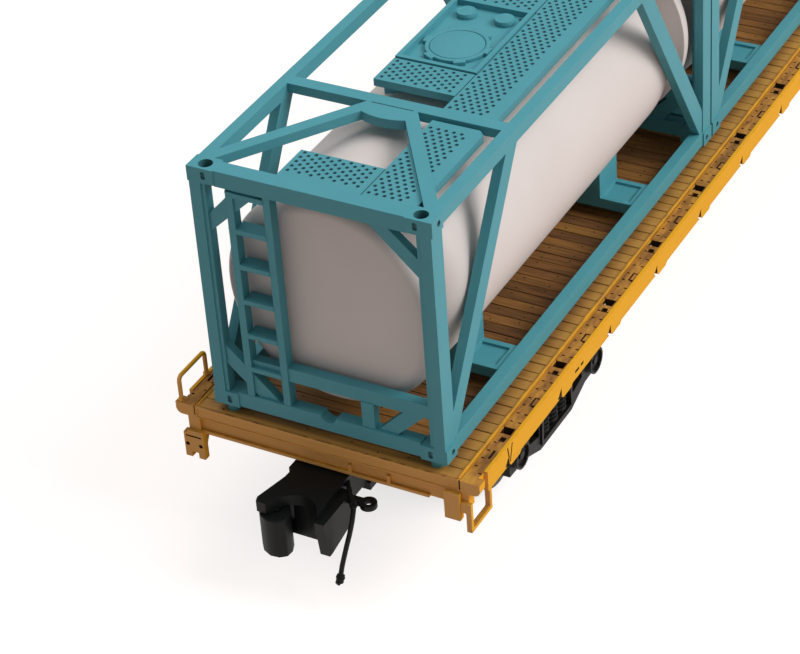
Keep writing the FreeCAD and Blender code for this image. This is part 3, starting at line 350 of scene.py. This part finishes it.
def wedge(shape, outline, y0, y1):
    """Adds a prism: an outline of (x, z) in mm, carried from y0 to y1."""
    near = [shape.verts.new(Vector((x, y0, z)) * MM) for x, z in outline]
    far = [shape.verts.new(Vector((x, y1, z)) * MM) for x, z in outline]
    shape.faces.new(near)
    shape.faces.new(far[::-1])
    for i in range(len(outline)):
        j = (i + 1) % len(outline)
        shape.faces.new([near[i], near[j], far[j], far[i]])


def wire(shape, points, radius, sides=10):
    """Adds a bent wire through points in mm, with mitred bends."""
    points = [Vector(p) for p in points]
    rings = []
    side = None
    for i, point in enumerate(points):
        before = (point - points[i - 1]).normalized() if i else (points[1] - point).normalized()
        after = (points[i + 1] - point).normalized() if i + 1 < len(points) else before
        along = (before + after).normalized()
        if side is None:
            side = along.orthogonal().normalized()
        side = (side - along * side.dot(along)).normalized()
        up = along.cross(side)
        wide = 1 / max(0.5, before.dot(along))
        ring = []
        for k in range(sides):
            angle = 2 * math.pi * k / sides
            out = (side * math.cos(angle) + up * math.sin(angle)) * radius
            ring.append(shape.verts.new((point + out * (1 + (wide - 1) * 0.5)) * MM))
        rings.append(ring)
    for a, b in zip(rings, rings[1:]):
        for k in range(sides):
            j = (k + 1) % sides
            shape.faces.new([a[k], a[j], b[j], b[k]])
    shape.faces.new(rings[0][::-1])
    shape.faces.new(rings[-1])


def turned_piece(shape, profile, place, sides=96):
    """Adds a closed solid of revolution: profile of (along, radius) in mm, place(along, radius, angle)."""
    rings = []
    for along, radius in profile:
        if radius < 1e-6:
            rings.append([shape.verts.new(Vector(place(along, 0.0, 0.0)) * MM)])
        else:
            rings.append([shape.verts.new(Vector(place(along, radius, 2 * math.pi * k / sides)) * MM)
                          for k in range(sides)])
    for a, b in zip(rings, rings[1:]):
        for k in range(sides):
            j = (k + 1) % sides
            loop = [a[k % len(a)], a[j % len(a)], b[j % len(b)], b[k % len(b)]]
            loop = [v for i, v in enumerate(loop) if v not in loop[:i]]
            if len(loop) > 2:
                shape.faces.new(loop)


def baked(made):
    """Applies the modifiers of an object to its mesh."""
    bpy.context.view_layer.update()
    ready = made.evaluated_get(bpy.context.evaluated_depsgraph_get())
    mesh = bpy.data.meshes.new_from_object(ready, preserve_all_data_layers=True,
                                           depsgraph=bpy.context.evaluated_depsgraph_get())
    old = made.data
    made.modifiers.clear()
    made.data = mesh
    bpy.data.meshes.remove(old)
    return made


def carve(made, cutters, finish="wash"):
    """Cuts a bmesh of separate closed shapes out of an object, and gives the cuts this finish."""
    tool = piece(made.name + "_cutters", cutters, [FINISH[finish]])
    modifier = made.modifiers.new("cut", "BOOLEAN")
    modifier.operation = "DIFFERENCE"
    modifier.solver = "EXACT"
    modifier.use_self = True
    modifier.material_mode = "TRANSFER"
    modifier.object = tool
    baked(made)
    bpy.data.objects.remove(tool)
    return made


def sliced(made, places):
    """Divides the faces of a long piece across x at these places in mm, so that cuts stay clean."""
    shape = bmesh.new()
    shape.from_mesh(made.data)
    for x in places:
        everything = shape.verts[:] + shape.edges[:] + shape.faces[:]
        bmesh.ops.bisect_plane(shape, geom=everything, dist=1e-7, plane_co=(x * MM, 0, 0), plane_no=(1, 0, 0))
    shape.to_mesh(made.data)
    shape.free()
    return made


def washed_tops(made, chosen):
    """Gives the faces that look up and whose middle, in mm, is chosen the pooled wash."""
    if FINISH["channel"].name not in made.data.materials:
        made.data.materials.append(FINISH["channel"])
    index = made.data.materials.find(FINISH["channel"].name)
    for face in made.data.polygons:
        if face.normal.z > 0.9 and chosen(face.center / MM):
            face.material_index = index
    return made


def soften(made, radius, segments=2, limit=35):
    """Rounds the hard edges by a radius in mm, as a moulding or casting has them."""
    bevel = made.modifiers.new("edges", "BEVEL")
    bevel.width = radius * MM
    bevel.segments = segments
    bevel.limit_method = "ANGLE"
    bevel.angle_limit = math.radians(limit)
    bevel.use_clamp_overlap = True
    bevel.miter_outer = "MITER_ARC"
    for face in made.data.polygons:
        face.use_smooth = True
    even = made.modifiers.new("shading", "WEIGHTED_NORMAL")
    even.mode = "FACE_AREA"
    even.weight = 50
    even.keep_sharp = False
    return baked(made)


def copy_of(node, name=None):
    """A copy of a CAD node's mesh with its flat faces joined up, ready for cuts and rounding."""
    shape = bmesh.new()
    shape.from_mesh(frame["nodes"][node].data)
    bmesh.ops.remove_doubles(shape, verts=shape.verts, dist=0.002 * MM)
    bmesh.ops.dissolve_limit(shape, angle_limit=math.radians(0.6), verts=shape.verts, edges=shape.edges,
                             use_dissolve_boundaries=False)
    for face in shape.faces:
        face.material_index = 0
    return piece(name or node + "_finished", shape, [FINISH[SLOT[node]]])


def stand_for(made, node):
    """The piece takes the place of a CAD node: its body, and its showing."""
    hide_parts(node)
    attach(made, BODY[node])
    return made


def added_to(made, node):
    """The piece is detail on a CAD node: it moves with it."""
    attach(made, BODY[node])
    return made


def shifted(made, name, offset):
    """A second copy of a piece, moved by an offset in mm."""
    mesh = made.data.copy()
    mesh.transform(Matrix.Translation(Vector(offset) * MM))
    twin = bpy.data.objects.new(name, mesh)
    bpy.context.scene.collection.objects.link(twin)
    return twin


def spun(made, name):
    """A second copy of a piece, turned half round about the car's middle."""
    mesh = made.data.copy()
    mesh.transform(Matrix.Rotation(math.pi, 4, "Z"))
    twin = bpy.data.objects.new(name, mesh)
    bpy.context.scene.collection.objects.link(twin)
    return twin


def arc_points(centre, radius, start, end, count):
    """Points in mm on a quarter or other part of a circle, as (u, v) pairs."""
    return [(centre[0] + radius * math.cos(math.radians(start + (end - start) * i / count)),
             centre[1] + radius * math.sin(math.radians(start + (end - start) * i / count)))
            for i in range(count + 1)]


# ------------------------------------------------------------------ one container, then its twins
def at(x, y, z):
    """A place on the first container: from its near end, its middle and its feet."""
    return (CONT_START + x, CONT_SIDE + y, CONT_Z + z)


def cut_box(cutters, x0, x1, y0, y1, z0, z1):
    """Adds a box on the first container."""
    block(cutters, at(x0, y0, z0), at(x1, y1, z1))


def finished_end_frame(node, face_x, inward):
    """End frame with the castings' holes: round on top and in the side face, oval in the end face."""
    made = copy_of(node)
    holes = bmesh.new()
    outside, inside, side_x = face_x - inward * 0.5, face_x + inward * 0.35, face_x + inward * 2.6
    for side in (1, -1):
        top_x, top_y = face_x + inward * CAST_HOLE[0], side * CAST_HOLE[1]
        rod(holes, at(top_x, top_y, CONT_TOP - 2.9), at(top_x, top_y, CONT_TOP + 0.5), 1.42, 32)
        for z in (1.5, CONT_TOP - 1.5):
            # an upright oval from two round cuts in the end face, and a round one in the side face
            for part_z in (z - 0.35, z + 0.35):
                rod(holes, at(outside, side * 21.9, part_z), at(inside, side * 21.9, part_z), 0.5, 16)
            rod(holes, at(side_x, side * 25.9, z), at(side_x, side * 24.9, z), 0.62, 16)
    # the holes' walls take the darker teal: painted shade
    carve(made, holes, "hole")
    return stand_for(soften(made, 0.16), node)


def finished_roof(node):
    """Roof frame with the joint between each hub and its cross member."""
    made = copy_of(node)
    seams = bmesh.new()
    for x in (CROSS_X, CONT_LENGTH - CROSS_X):
        cut_box(seams, x - 0.1, x + 0.1, -4.5, 4.5, CONT_TOP - 0.25, CONT_TOP + 0.5)
    carve(made, seams, "hole")
    return stand_for(soften(made, 0.15), node)


def finished_walkways(node):
    """Walkways with rows of small tread holes, the joints between panels and strip, and the box's edge."""
    made = copy_of(node)
    holes = bmesh.new()

    def hole(x, y):
        rod(holes, at(x, y, WALK_TOP - 0.7), at(x, y, WALK_TOP + 0.4), 0.42, 8)

    # cross panels: staggered rows along the panel, counted from its inner edge
    for first, step in ((13.0, -1.6), (42.7, 1.6), (CONT_LENGTH - 42.7, -1.6), (CONT_LENGTH - 13.0, 1.6)):
        for row in range(13):
            odd = row % 2
            for k in range(5 - odd):
                hole(first + (k + odd / 2) * step, 7.7 - 1.22 * row)
    # long strip: staggered rows between the cross members
    for start, stop in ((5.6, 30.7), (37.4, CONT_LENGTH - 37.4), (CONT_LENGTH - 30.7, CONT_LENGTH - 5.6)):
        for row in range(10):
            x = start + (1.2 if row % 2 else 0.0)
            while x < stop:
                hole(x, -9.7 - 0.81 * row)
                x += 2.4
    # the tread holes' walls take the darker teal: painted shade
    carve(made, holes, "hole")
    seams = bmesh.new()
    top, low = WALK_TOP + 0.4, WALK_TOP - 0.3
    seam_y = -WALK_HALF
    for x0, x1 in ((3.0, PANEL_X), (WALK_X, BOX_X)):
        cut_box(seams, x0, x1, seam_y - 0.1, seam_y + 0.1, low, top)
        cut_box(seams, CONT_LENGTH - x1, CONT_LENGTH - x0, seam_y - 0.1, seam_y + 0.1, low, top)
    cut_box(seams, BOX_X - 0.25, BOX_X + 0.1, seam_y - 0.3, 9.0, low, top)
    cut_box(seams, CONT_LENGTH - BOX_X - 0.1, CONT_LENGTH - BOX_X + 0.25, seam_y - 0.3, 9.0, low, top)
    cut_box(seams, BOX_X + 0.11, CONT_LENGTH - BOX_X - 0.11, seam_y - 0.3, seam_y + 0.05, low, top)
    carve(made, seams, "hole")
    return stand_for(soften(made, 0.12, segments=1), node)


def finished_tank(node):
    """Tank turned in one piece: rounded end skirts, necks and shoulders."""
    shape = bmesh.new()
    radius = TANK_RADIUS
    start, edge, skirt = 3.8, 3.0, 8.3      # skirt's face, the rounding of it, and its back
    barrel, shoulder = 11.0, 7.0            # start of the barrel, and its rounding
    half = [(start, 0.0), (start, radius - edge)]
    half += [(start + edge - edge * math.cos(math.radians(a)),
              radius - edge + edge * math.sin(math.radians(a))) for a in range(10, 91, 10)]
    half += [(skirt - 0.15, radius), (skirt, radius - 0.15), (skirt, radius - 5.4),
             (barrel, radius - shoulder)]
    half += [(barrel + shoulder - shoulder * math.cos(math.radians(a)),
              radius - shoulder + shoulder * math.sin(math.radians(a))) for a in range(6, 91, 6)]
    whole = half + [(CONT_LENGTH - x, r) for x, r in reversed(half)]

    def place(along, r, angle):
        return at(along, r * math.cos(angle), TANK_Z + r * math.sin(angle))

    turned_piece(shape, whole, place, 128)
    made = piece(node + "_finished", shape, [FINISH["tank_shell"]])
    return stand_for(soften(made, 0.15, limit=40), node)


def finished_manhole(node):
    """Lid of the manhole: a flat ring, a slightly domed disc set flush in it, and six clamping lugs."""
    shape = bmesh.new()
    x, floor = CONT_MID - MANHOLE_X, WALK_TOP - 1.0
    profile = [(0.0, 0.0), (0.0, 6.4), (0.7, 6.4), (0.8, 6.3), (0.8, 5.62), (0.5, 5.6), (0.5, 5.45),
               (0.78, 5.42), (0.92, 4.0), (1.02, 2.2), (1.06, 0.0)]

    def place(along, r, angle):
        return at(x + r * math.cos(angle), r * math.sin(angle), floor + along)

    turned_piece(shape, profile, place, 64)
    made = soften(piece(node + "_finished", shape, [FINISH["container_frame"]]), 0.08, limit=40)
    stand_for(made, node)
    lugs = bmesh.new()
    centre = Matrix.Translation(Vector(at(x, 0, floor)) * MM)
    for angle in range(30, 360, 60):
        block(lugs, (5.75, -1.2, 0.0), (7.15, 1.2, 0.82))
        lugs.verts.ensure_lookup_table()
        turn = Matrix.Rotation(math.radians(angle), 4, "Z")
        bmesh.ops.transform(lugs, matrix=centre @ turn, verts=lugs.verts[-8:])
    made_lugs = soften(piece(node + "_lugs", lugs, [FINISH["container_frame"]]), 0.12)
    added_to(made_lugs, node)
    return made, made_lugs


def finished_spill_box(node):
    """Spill box with drain holes, and two smooth round valve caps."""
    made = copy_of(node)
    drains = bmesh.new()
    drain_x = CONT_MID + 10.9
    for y in (6.6, -6.6):
        rod(drains, at(drain_x, y, WALK_TOP - 1.7), at(drain_x, y, WALK_TOP + 1), 0.45, 16)
    # the drain holes' walls take the darker teal: painted shade
    carve(made, drains, "hole")
    stand_for(soften(made, 0.12), node)
    caps = bmesh.new()
    profile = [(0.0, 0.0), (0.0, 2.0), (0.1, 2.05), (0.8, 2.0), (1.0, 1.8), (1.08, 1.2), (1.1, 0.0)]
    x, floor = CONT_MID + CAP_X, WALK_TOP - 0.98
    for y in (CAP_Y, -CAP_Y):
        def place(along, r, angle, y=y):
            return at(x + r * math.cos(angle), y + r * math.sin(angle), floor + along)

        turned_piece(caps, profile, place, 40)
    made_caps = soften(piece(node + "_caps", caps, [FINISH["container_frame"]]), 0.06, limit=40)
    added_to(made_caps, node)
    return made, made_caps


def finished_copy(node, radius=0.15):
    """A CAD node with its edges rounded."""
    return stand_for(soften(copy_of(node), radius), node)


first = [finished_end_frame("container_1_near_end_frame", 0.0, 1),
         finished_end_frame("container_1_far_end_frame", CONT_LENGTH, -1),
         finished_copy("container_1_side_frames"),
         finished_roof("container_1_roof_frame"),
         finished_walkways("container_1_walkways"),
         finished_tank("container_1_tank"),
         finished_copy("container_1_saddles", 0.2),
         *finished_manhole("container_1_manhole_lid"),
         *finished_spill_box("container_1_spill_box")]
for number in (2, 3):
    for made in first:
        name = made.name.replace("container_1", "container_%d" % number)
        twin = shifted(made, name, (CONT_STEP * (number - 1), 0, 0))
        node = next(n for n in SLOT if name.startswith(n))
        if name.endswith("_finished"):
            stand_for(twin, node)
        else:
            added_to(twin, node)


# ------------------------------------------------------------------ deck boards
def finished_deck():
    """Separate boards over a dark bed, each with its own small difference in height, and nail heads."""
    node = "deck_planks"
    bed = bmesh.new()
    block(bed, (-PLANK_END, -PLANK_HALF, DECK_TOP - 1.5), (PLANK_END, PLANK_HALF, DECK_TOP - 0.55))
    stand_for(piece("deck_bed", bed, [FINISH["wash"]]), node)
    boards, nails = bmesh.new(), bmesh.new()
    for index in range(BOARD_COUNT):
        x0 = -PLANK_END + index * BOARD_PITCH
        top = DECK_TOP - 0.02 - 0.07 * ((index * 7) % 5) / 4
        block(boards, (x0 + BOARD_GAP, -BOARD_HALF, DECK_TOP - 1.0),
              (x0 + BOARD_PITCH - BOARD_GAP, BOARD_HALF, top))
        for row, y in enumerate((4.9, 11.0, 17.1, 23.2)):
            for side in (1, -1):
                if (index * 5 + row * 3 + side) % 4:
                    x = x0 + BOARD_PITCH * (0.35 if (index + row) % 2 else 0.65)
                    rod(nails, (x, side * y, top - 0.3), (x, side * y, top + 0.02), 0.2, 8)
    made = soften(piece("deck_boards", boards, [FINISH["deck_boards"]]), 0.12)
    added_to(made, node)
    added_to(piece("deck_nails", nails, [FINISH["wash"]]), node)


# ------------------------------------------------------------------ side sills and end sills
def finished_side_sill():
    """Right side sill: bead, groove, washed channel with slots and stake pockets; the left is its twin.

    The slots follow the marks of the real casting: six pairs of short ones and a small hook in each bay
    between two pockets, and a few more beyond the last pocket at each end.
    """
    node = "side_sill_right"
    made = copy_of(node)
    channel = bmesh.new()
    stop = DECK_END - CORNER
    block(channel, (-stop, -32.05, DECK_TOP - 0.22), (stop, -29.45, DECK_TOP + 1))
    block(channel, (-stop, -29.3, DECK_TOP - 0.4), (stop, -29.02, DECK_TOP + 1))
    carve(made, channel, "channel")
    pockets = [-DECK_END + POCKET_START + index * POCKET_PITCH for index in range(POCKET_COUNT)]
    places = [-stop - 0.01, stop + 0.01]
    places += [x + ahead for x in pockets[:-1] for ahead in (1.9, 7.3, 12.8, 16.0, 21.6)]
    sliced(made, places)
    washed_tops(made, lambda middle: abs(middle.x) > stop and middle.z > DECK_TOP - 0.1)
    cuts = bmesh.new()

    def slot_cut(x, y, length_x, width_y, depth=0.8):
        block(cuts, (x - length_x / 2, y - width_y / 2, DECK_TOP - depth),
              (x + length_x / 2, y + width_y / 2, DECK_TOP + 1))

    for index, x in enumerate(pockets):
        slot_cut(x, POCKET_Y, 2.12, 2.72, 2.1)
        slot_cut(x - 2.8, -30.8, 1.4, 1.2, 0.9)
        # a notch below each pocket, its walls painted dark brown: painted shade
        wedge(cuts, [(x - 6.0, SILL_LOW + 0.35), (x - 4.15, SILL_LOW - 0.3), (x - 4.15, SILL_LOW + 2.15)],
              -SILL_FACE - 0.2, -SILL_FACE + 0.45)
        if index == POCKET_COUNT - 1:
            break
        middle = x + 11.5
        for k in (-3, -2, -1, 1, 2, 3):
            slot_cut(middle + 2.8 * k, OUTER_SLOTS, 0.35, 0.7)
            slot_cut(middle + 2.8 * k, INNER_SLOTS, 0.35, 0.6)
        slot_cut(middle - 1.3, -30.9, 2.8, 0.35)
        slot_cut(middle - 2.55, -31.43, 0.35, 0.69)
        slot_cut(middle - 0.05, -31.43, 0.35, 0.69)
        slot_cut(middle - 0.3, INNER_SLOTS, 0.35, 0.6)
    for end in (-1, 1):
        slot_cut(end * 181.35, -31.0, 2.7, 0.5)
        for x in (177.6, 180.3, 182.8, 185.5):
            slot_cut(end * x, INNER_SLOTS, 0.35, 0.6)
        slot_cut(end * 187.4, OUTER_SLOTS, 0.35, 0.7)
        # dashes and fine joint lines on the upright face
        for x0, x1 in ((148.4, 146.6), (145.8, 144.5)):
            block(cuts, (end * x0, -SILL_FACE - 0.4, 27.2), (end * x1, -SILL_FACE + 0.2, 27.8))
        rod(cuts, (end * 176.3, -SILL_FACE, 30.0), (end * 177.4, -SILL_FACE, 26.2), 0.2, 8)
        rod(cuts, (end * 178.3, -SILL_FACE, 30.0), (end * 177.8, -SILL_FACE, 27.3), 0.2, 8)
    # pockets, slots, notches and lines take the dark brown: wash and painted shade
    carve(made, cuts, "wash")
    right = stand_for(soften(made, 0.18), node)
    bead = bmesh.new()
    rod(bead, (-PLANK_END + 0.2, -28.5, DECK_TOP - 0.12), (PLANK_END - 0.2, -28.5, DECK_TOP - 0.12), 0.32, 12)
    block(bead, (-PLANK_END + 0.2, -PLANK_HALF, DECK_TOP - 0.6), (PLANK_END - 0.2, -28.3, DECK_TOP - 0.25))
    bead = added_to(soften(piece("side_bead_right", bead, [FINISH["car_body"]]), 0.08), node)
    stand_for(spun(right, "side_sill_left_finished"), "side_sill_left")
    added_to(spun(bead, "side_bead_left"), "side_sill_left")


def finished_end_sill():
    """End sill of the A end, with the joints at its corners and a shallow groove; the B end's is its twin."""
    node = "end_sill_a"
    made = copy_of(node)
    cuts = bmesh.new()
    x = -DECK_END
    for y in (-PLANK_HALF + 0.15, PLANK_HALF - 0.15):
        block(cuts, (x - 0.5, y - 0.15, 28.2), (x + 0.2, y + 0.15, 30.6))
    # the corner joints take the dark brown: wash and painted shade
    carve(made, cuts, "wash")
    groove = bmesh.new()
    block(groove, (x - 0.5, -28.6, DECK_TOP - 2.5), (x + 0.22, 28.6, DECK_TOP - 0.65))
    carve(made, groove, "car_body")
    washed_tops(made, lambda middle: middle.z > DECK_TOP - 0.1)
    near = stand_for(soften(made, 0.15), node)
    stand_for(spun(near, "end_sill_b_finished"), "end_sill_b")


# ------------------------------------------------------------------ fittings on the car body
def finished_grab_irons():
    """Bent wire loops on the left edge at the A end and the right edge at the B end."""
    node = "grab_irons"
    shape = bmesh.new()
    z, r = DECK_TOP + 5.4, 0.45
    x0, x1, y = -DECK_END + 0.9, -DECK_END + 10.3, 32.4
    bend = 1.0
    path = [(x0, y, DECK_TOP - 0.4)]
    path += [(u, y, v) for u, v in arc_points((x0 + bend, z - bend), bend, 180, 90, 5)]
    path += [(u, y, v) for u, v in arc_points((x1 - bend, z - bend), bend, 90, 0, 5)]
    path += [(x1, y, DECK_TOP - 0.4)]
    wire(shape, path, r, 12)
    for x in (x0, x1):
        rod(shape, (x, y, DECK_TOP - 0.1), (x, y, DECK_TOP + 0.35), 0.7, 12)
    made = soften(piece(node + "_finished", shape, [FINISH["car_body"]]), 0.05, limit=50)
    stand_for(made, node)
    added_to(spun(made, "grab_irons_b_end"), node)


def finished_brackets():
    """Two-legged brackets with a bolt in each leg, and the slotted plate above."""
    made = copy_of("end_brackets")
    cuts = bmesh.new()
    face = -DECK_END - 0.9
    for turn in (1, -1):
        for y in (28.0, 31.0):
            rod(cuts, (turn * (face - 0.5), turn * y, 21.2), (turn * (face + 0.45), turn * y, 21.2), 0.42, 16)
        block(cuts, (turn * (face - 0.5), turn * 27.7, 23.1), (turn * (face + 0.4), turn * 31.2, 23.4))
    # the bolt holes and the slot take the dark brown: wash and painted shade
    carve(made, cuts, "wash")
    stand_for(soften(made, 0.18), "end_brackets")


finished_deck()
finished_side_sill()
finished_end_sill()
finished_grab_irons()
finished_brackets()
for node in ("sill_steps", "end_pads", "brake_cylinder", "air_reservoir", "brake_valve", "brake_wheel",
             "centre_sill", "cross_bearers"):
    finished_copy(node, 0.18)


# ------------------------------------------------------------------ trucks, wheels and couplers at the A end
def finished_wheelset(node, x):
    """Axle and wheels turned in one piece with rounded flanges, hubs and dished faces, about an axle at x."""
    shape = bmesh.new()
    half = [(22.0, 0.0), (22.0, 1.05), (21.8, 1.2), (19.1, 1.2), (19.1, 2.7), (18.9, 2.95), (18.1, 3.3),
            (18.05, 6.7), (18.9, 7.1), (19.1, 7.35), (19.1, 8.4), (18.95, 8.56), (15.5, 8.72), (15.15, 9.2),
            (14.95, 9.85), (14.7, 9.99), (14.45, 9.99), (14.1, 9.75), (14.1, 1.75), (13.7, 1.5), (4.0, 1.5)]
    whole = half + [(-along, r) for along, r in reversed(half)]

    def place(along, r, angle):
        return (x + r * math.cos(angle), along, AXLE_Z + r * math.sin(angle))

    turned_piece(shape, whole, place, 96)
    made = piece(node + "_finished", shape, [FINISH["wheels"]])
    return stand_for(soften(made, 0.08, limit=45), node)


def finished_truck_sides(node):
    """Cast side frames, with coiled springs, bearing cap bolts and rivets."""
    made = stand_for(soften(copy_of(node), 0.28), node)
    details = bmesh.new()
    for side in (1, -1):
        mid_y = side * 22.0
        for spring_x in (-4.0, 0.0, 4.0):
            coil = []
            for k in range(0, 5 * 12 + 1):
                angle = 2 * math.pi * k / 12
                coil.append((-TRUCK_X + spring_x + 1.45 * math.cos(angle), mid_y + 1.45 * math.sin(angle),
                             5.9 + 5.5 * k / 60))
            wire(details, coil, 0.34, 6)
        for cap_x in (-AXLE_X, AXLE_X):
            for angle in (45, 135, 225, 315):
                dx, dz = 2.35 * math.cos(math.radians(angle)), 2.35 * math.sin(math.radians(angle))
                rod(details, (-TRUCK_X + cap_x + dx, side * 24.3, AXLE_Z + dz),
                    (-TRUCK_X + cap_x + dx, side * 24.68, AXLE_Z + dz), 0.3, 6)
        for x in (-TRUCK_X - 11.0, -TRUCK_X + 11.0):
            rod(details, (x, side * 23.3, 15.4), (x, side * 23.9, 15.4), 0.5, 10)
    added_to(soften(piece(node + "_details", details, [FINISH["truck_castings"]]), 0.05, limit=50), node)
    return made


def finished_hose(node):
    """Hose bent in one run, with a ribbed fitting at its lower end."""
    shape = bmesh.new()
    pin = Vector((-COUPLER_X, 0.0, 0.0))
    path = [pin + Vector(p) for p in ((-18.0, -9.1, 22.2), (-18.7, -9.55, 22.15), (-19.2, -9.7, 21.5),
                                      (-19.7, -9.6, 19.8), (-20.4, -9.2, 17.0), (-21.4, -8.6, 13.6),
                                      (-22.3, -8.1, 10.4), (-22.9, -7.9, 8.2))]
    wire(shape, path, 0.5, 12)
    start = path[-1] + Vector((0.2, 0, 0.2))
    along = Vector((-0.35, 0.1, -1)).normalized()
    rod(shape, start, start + along * 1.7, 0.8, 14)
    rod(shape, start + along * 0.4, start + along * 0.8, 0.92, 14)
    rod(shape, path[-1] + Vector((0.5, 0, -0.9)), path[-1] + Vector((-1.0, 0.3, -1.35)), 0.55, 12)
    rod(shape, path[0] + Vector((0.9, 0.5, 0)), path[0] + Vector((-0.1, -0.1, 0)), 0.8, 12)
    made = piece(node + "_finished", shape, [FINISH["couplers"]])
    return stand_for(soften(made, 0.1, limit=45), node)


def twin_at_b(made, node_a, node_b):
    """The same piece at the B end."""
    twin = spun(made, made.name.replace(node_a, node_b))
    return stand_for(twin, node_b) if made.name.endswith("_finished") else added_to(twin, node_b)


def coupler_throat():
    """The deep back of the A end coupler's mouth, below the head, between its knuckle and its guard arm."""
    throat = bmesh.new()
    block(throat, (-COUPLER_X - 20.3, -5.0, 12.9), (-COUPLER_X - 16.5, 5.6, 15.4))
    made = piece("coupler_a_body_throat", throat, [FINISH["couplers"]])
    return added_to(soften(made, 0.35), "coupler_a_body")


for place_name, x in (("outer", -TRUCK_X - AXLE_X), ("inner", -TRUCK_X + AXLE_X)):
    made = finished_wheelset("wheelset_a_" + place_name, x)
    twin_at_b(made, "wheelset_a_" + place_name, "wheelset_b_" + place_name)
sides = finished_truck_sides("truck_a_side_frames")
twin_at_b(sides, "truck_a_side_frames", "truck_b_side_frames")
twin_at_b(bpy.data.objects["truck_a_side_frames_details"], "truck_a_side_frames", "truck_b_side_frames")
for part, radius in (("truck_%s_bolster", 0.25), ("coupler_%s_body", 0.3), ("coupler_%s_knuckle", 0.4)):
    made = finished_copy(part % "a", radius)
    twin_at_b(made, part % "a", part % "b")
twin_at_b(coupler_throat(), "coupler_a_body", "coupler_b_body")
hose = finished_hose("coupler_a_hose")
twin_at_b(hose, "coupler_a_hose", "coupler_b_hose")


# ------------------------------------------------------------------ floor, light and camera
def lamp(name, spot, power, width, height):
    """A soft square lamp aimed at the middle of the car."""
    light = bpy.data.lights.new(name, "AREA")
    light.shape = "RECTANGLE"
    light.size, light.size_y, light.energy = width, height, power
    made = bpy.data.objects.new(name, light)
    made.location = spot
    made.rotation_euler = (-Vector(spot)).to_track_quat("-Z", "Y").to_euler()
    bpy.context.scene.collection.objects.link(made)


def seen_rays(tree):
    """1 for what is seen straight, in a reflection or through glass, and 0 for light that bounces."""
    path = add(tree, "ShaderNodeLightPath").outputs
    either = add(tree, "ShaderNodeMath", None, {0: path["Is Camera Ray"], 1: path["Is Glossy Ray"]},
                 operation="MAXIMUM")
    return add(tree, "ShaderNodeMath", None, {0: either.outputs[0], 1: path["Is Transmission Ray"]},
               operation="MAXIMUM").outputs[0]


def pale_paper():
    # Matt coated paper, with a soft mottle some 60 mm wide. It bounces light as warm grey card does, and
    # where it is seen it is lifted to white, with the car's shadow still on it.
    made, tree, shader, place = finish_of("matt coated paper, pale", 0.9, ior=1.45)
    mottle = add(tree, "ShaderNodeTexNoise", {"Scale": 1 / (60 * MM), "Detail": 1.0}, {"Vector": place})
    two_tones(tree, shader, "#BAACA5", "#BDAFA8", mottle)
    lift = add(tree, "ShaderNodeMath", {1: 0.74}, {0: seen_rays(tree)}, operation="MULTIPLY")
    shader.inputs["Emission Color"].default_value = linear("#FFFFFF")
    tree.links.new(lift.outputs[0], shader.inputs["Emission Strength"])
    return made


floor = bmesh.new()
floor.faces.new([floor.verts.new((x, y, 0)) for x, y in ((-6, -6), (6, -6), (6, 6), (-6, 6))])
piece("floor", floor, [pale_paper()])
lamp("key", (0.3, -1.3, 1.2), 27.0, 1.2, 1.0)
lamp("top", (0.1, 0.4, 1.7), 11.0, 1.6, 1.6)

scene = bpy.context.scene
world = bpy.data.worlds.new("studio")
scene.world = world
world.use_nodes = True
air = world.node_tree.nodes["Background"]
air.inputs["Color"].default_value = linear("#FFFFFF")
air.inputs["Strength"].default_value = 0.26
scene.view_settings.view_transform = "Standard"

camera = bpy.data.cameras.new("camera")
camera.lens = 122.956
camera.sensor_width = 36.0
camera.clip_start, camera.clip_end = 0.01, 20.0
viewer = bpy.data.objects.new("camera", camera)
viewer.location = (-0.538023, -0.224109, 0.347929)
viewer.rotation_euler = Euler([math.radians(a) for a in (54.6316, 3.5697, -61.9221)], "XYZ")
scene.collection.objects.link(viewer)
scene.camera = viewer
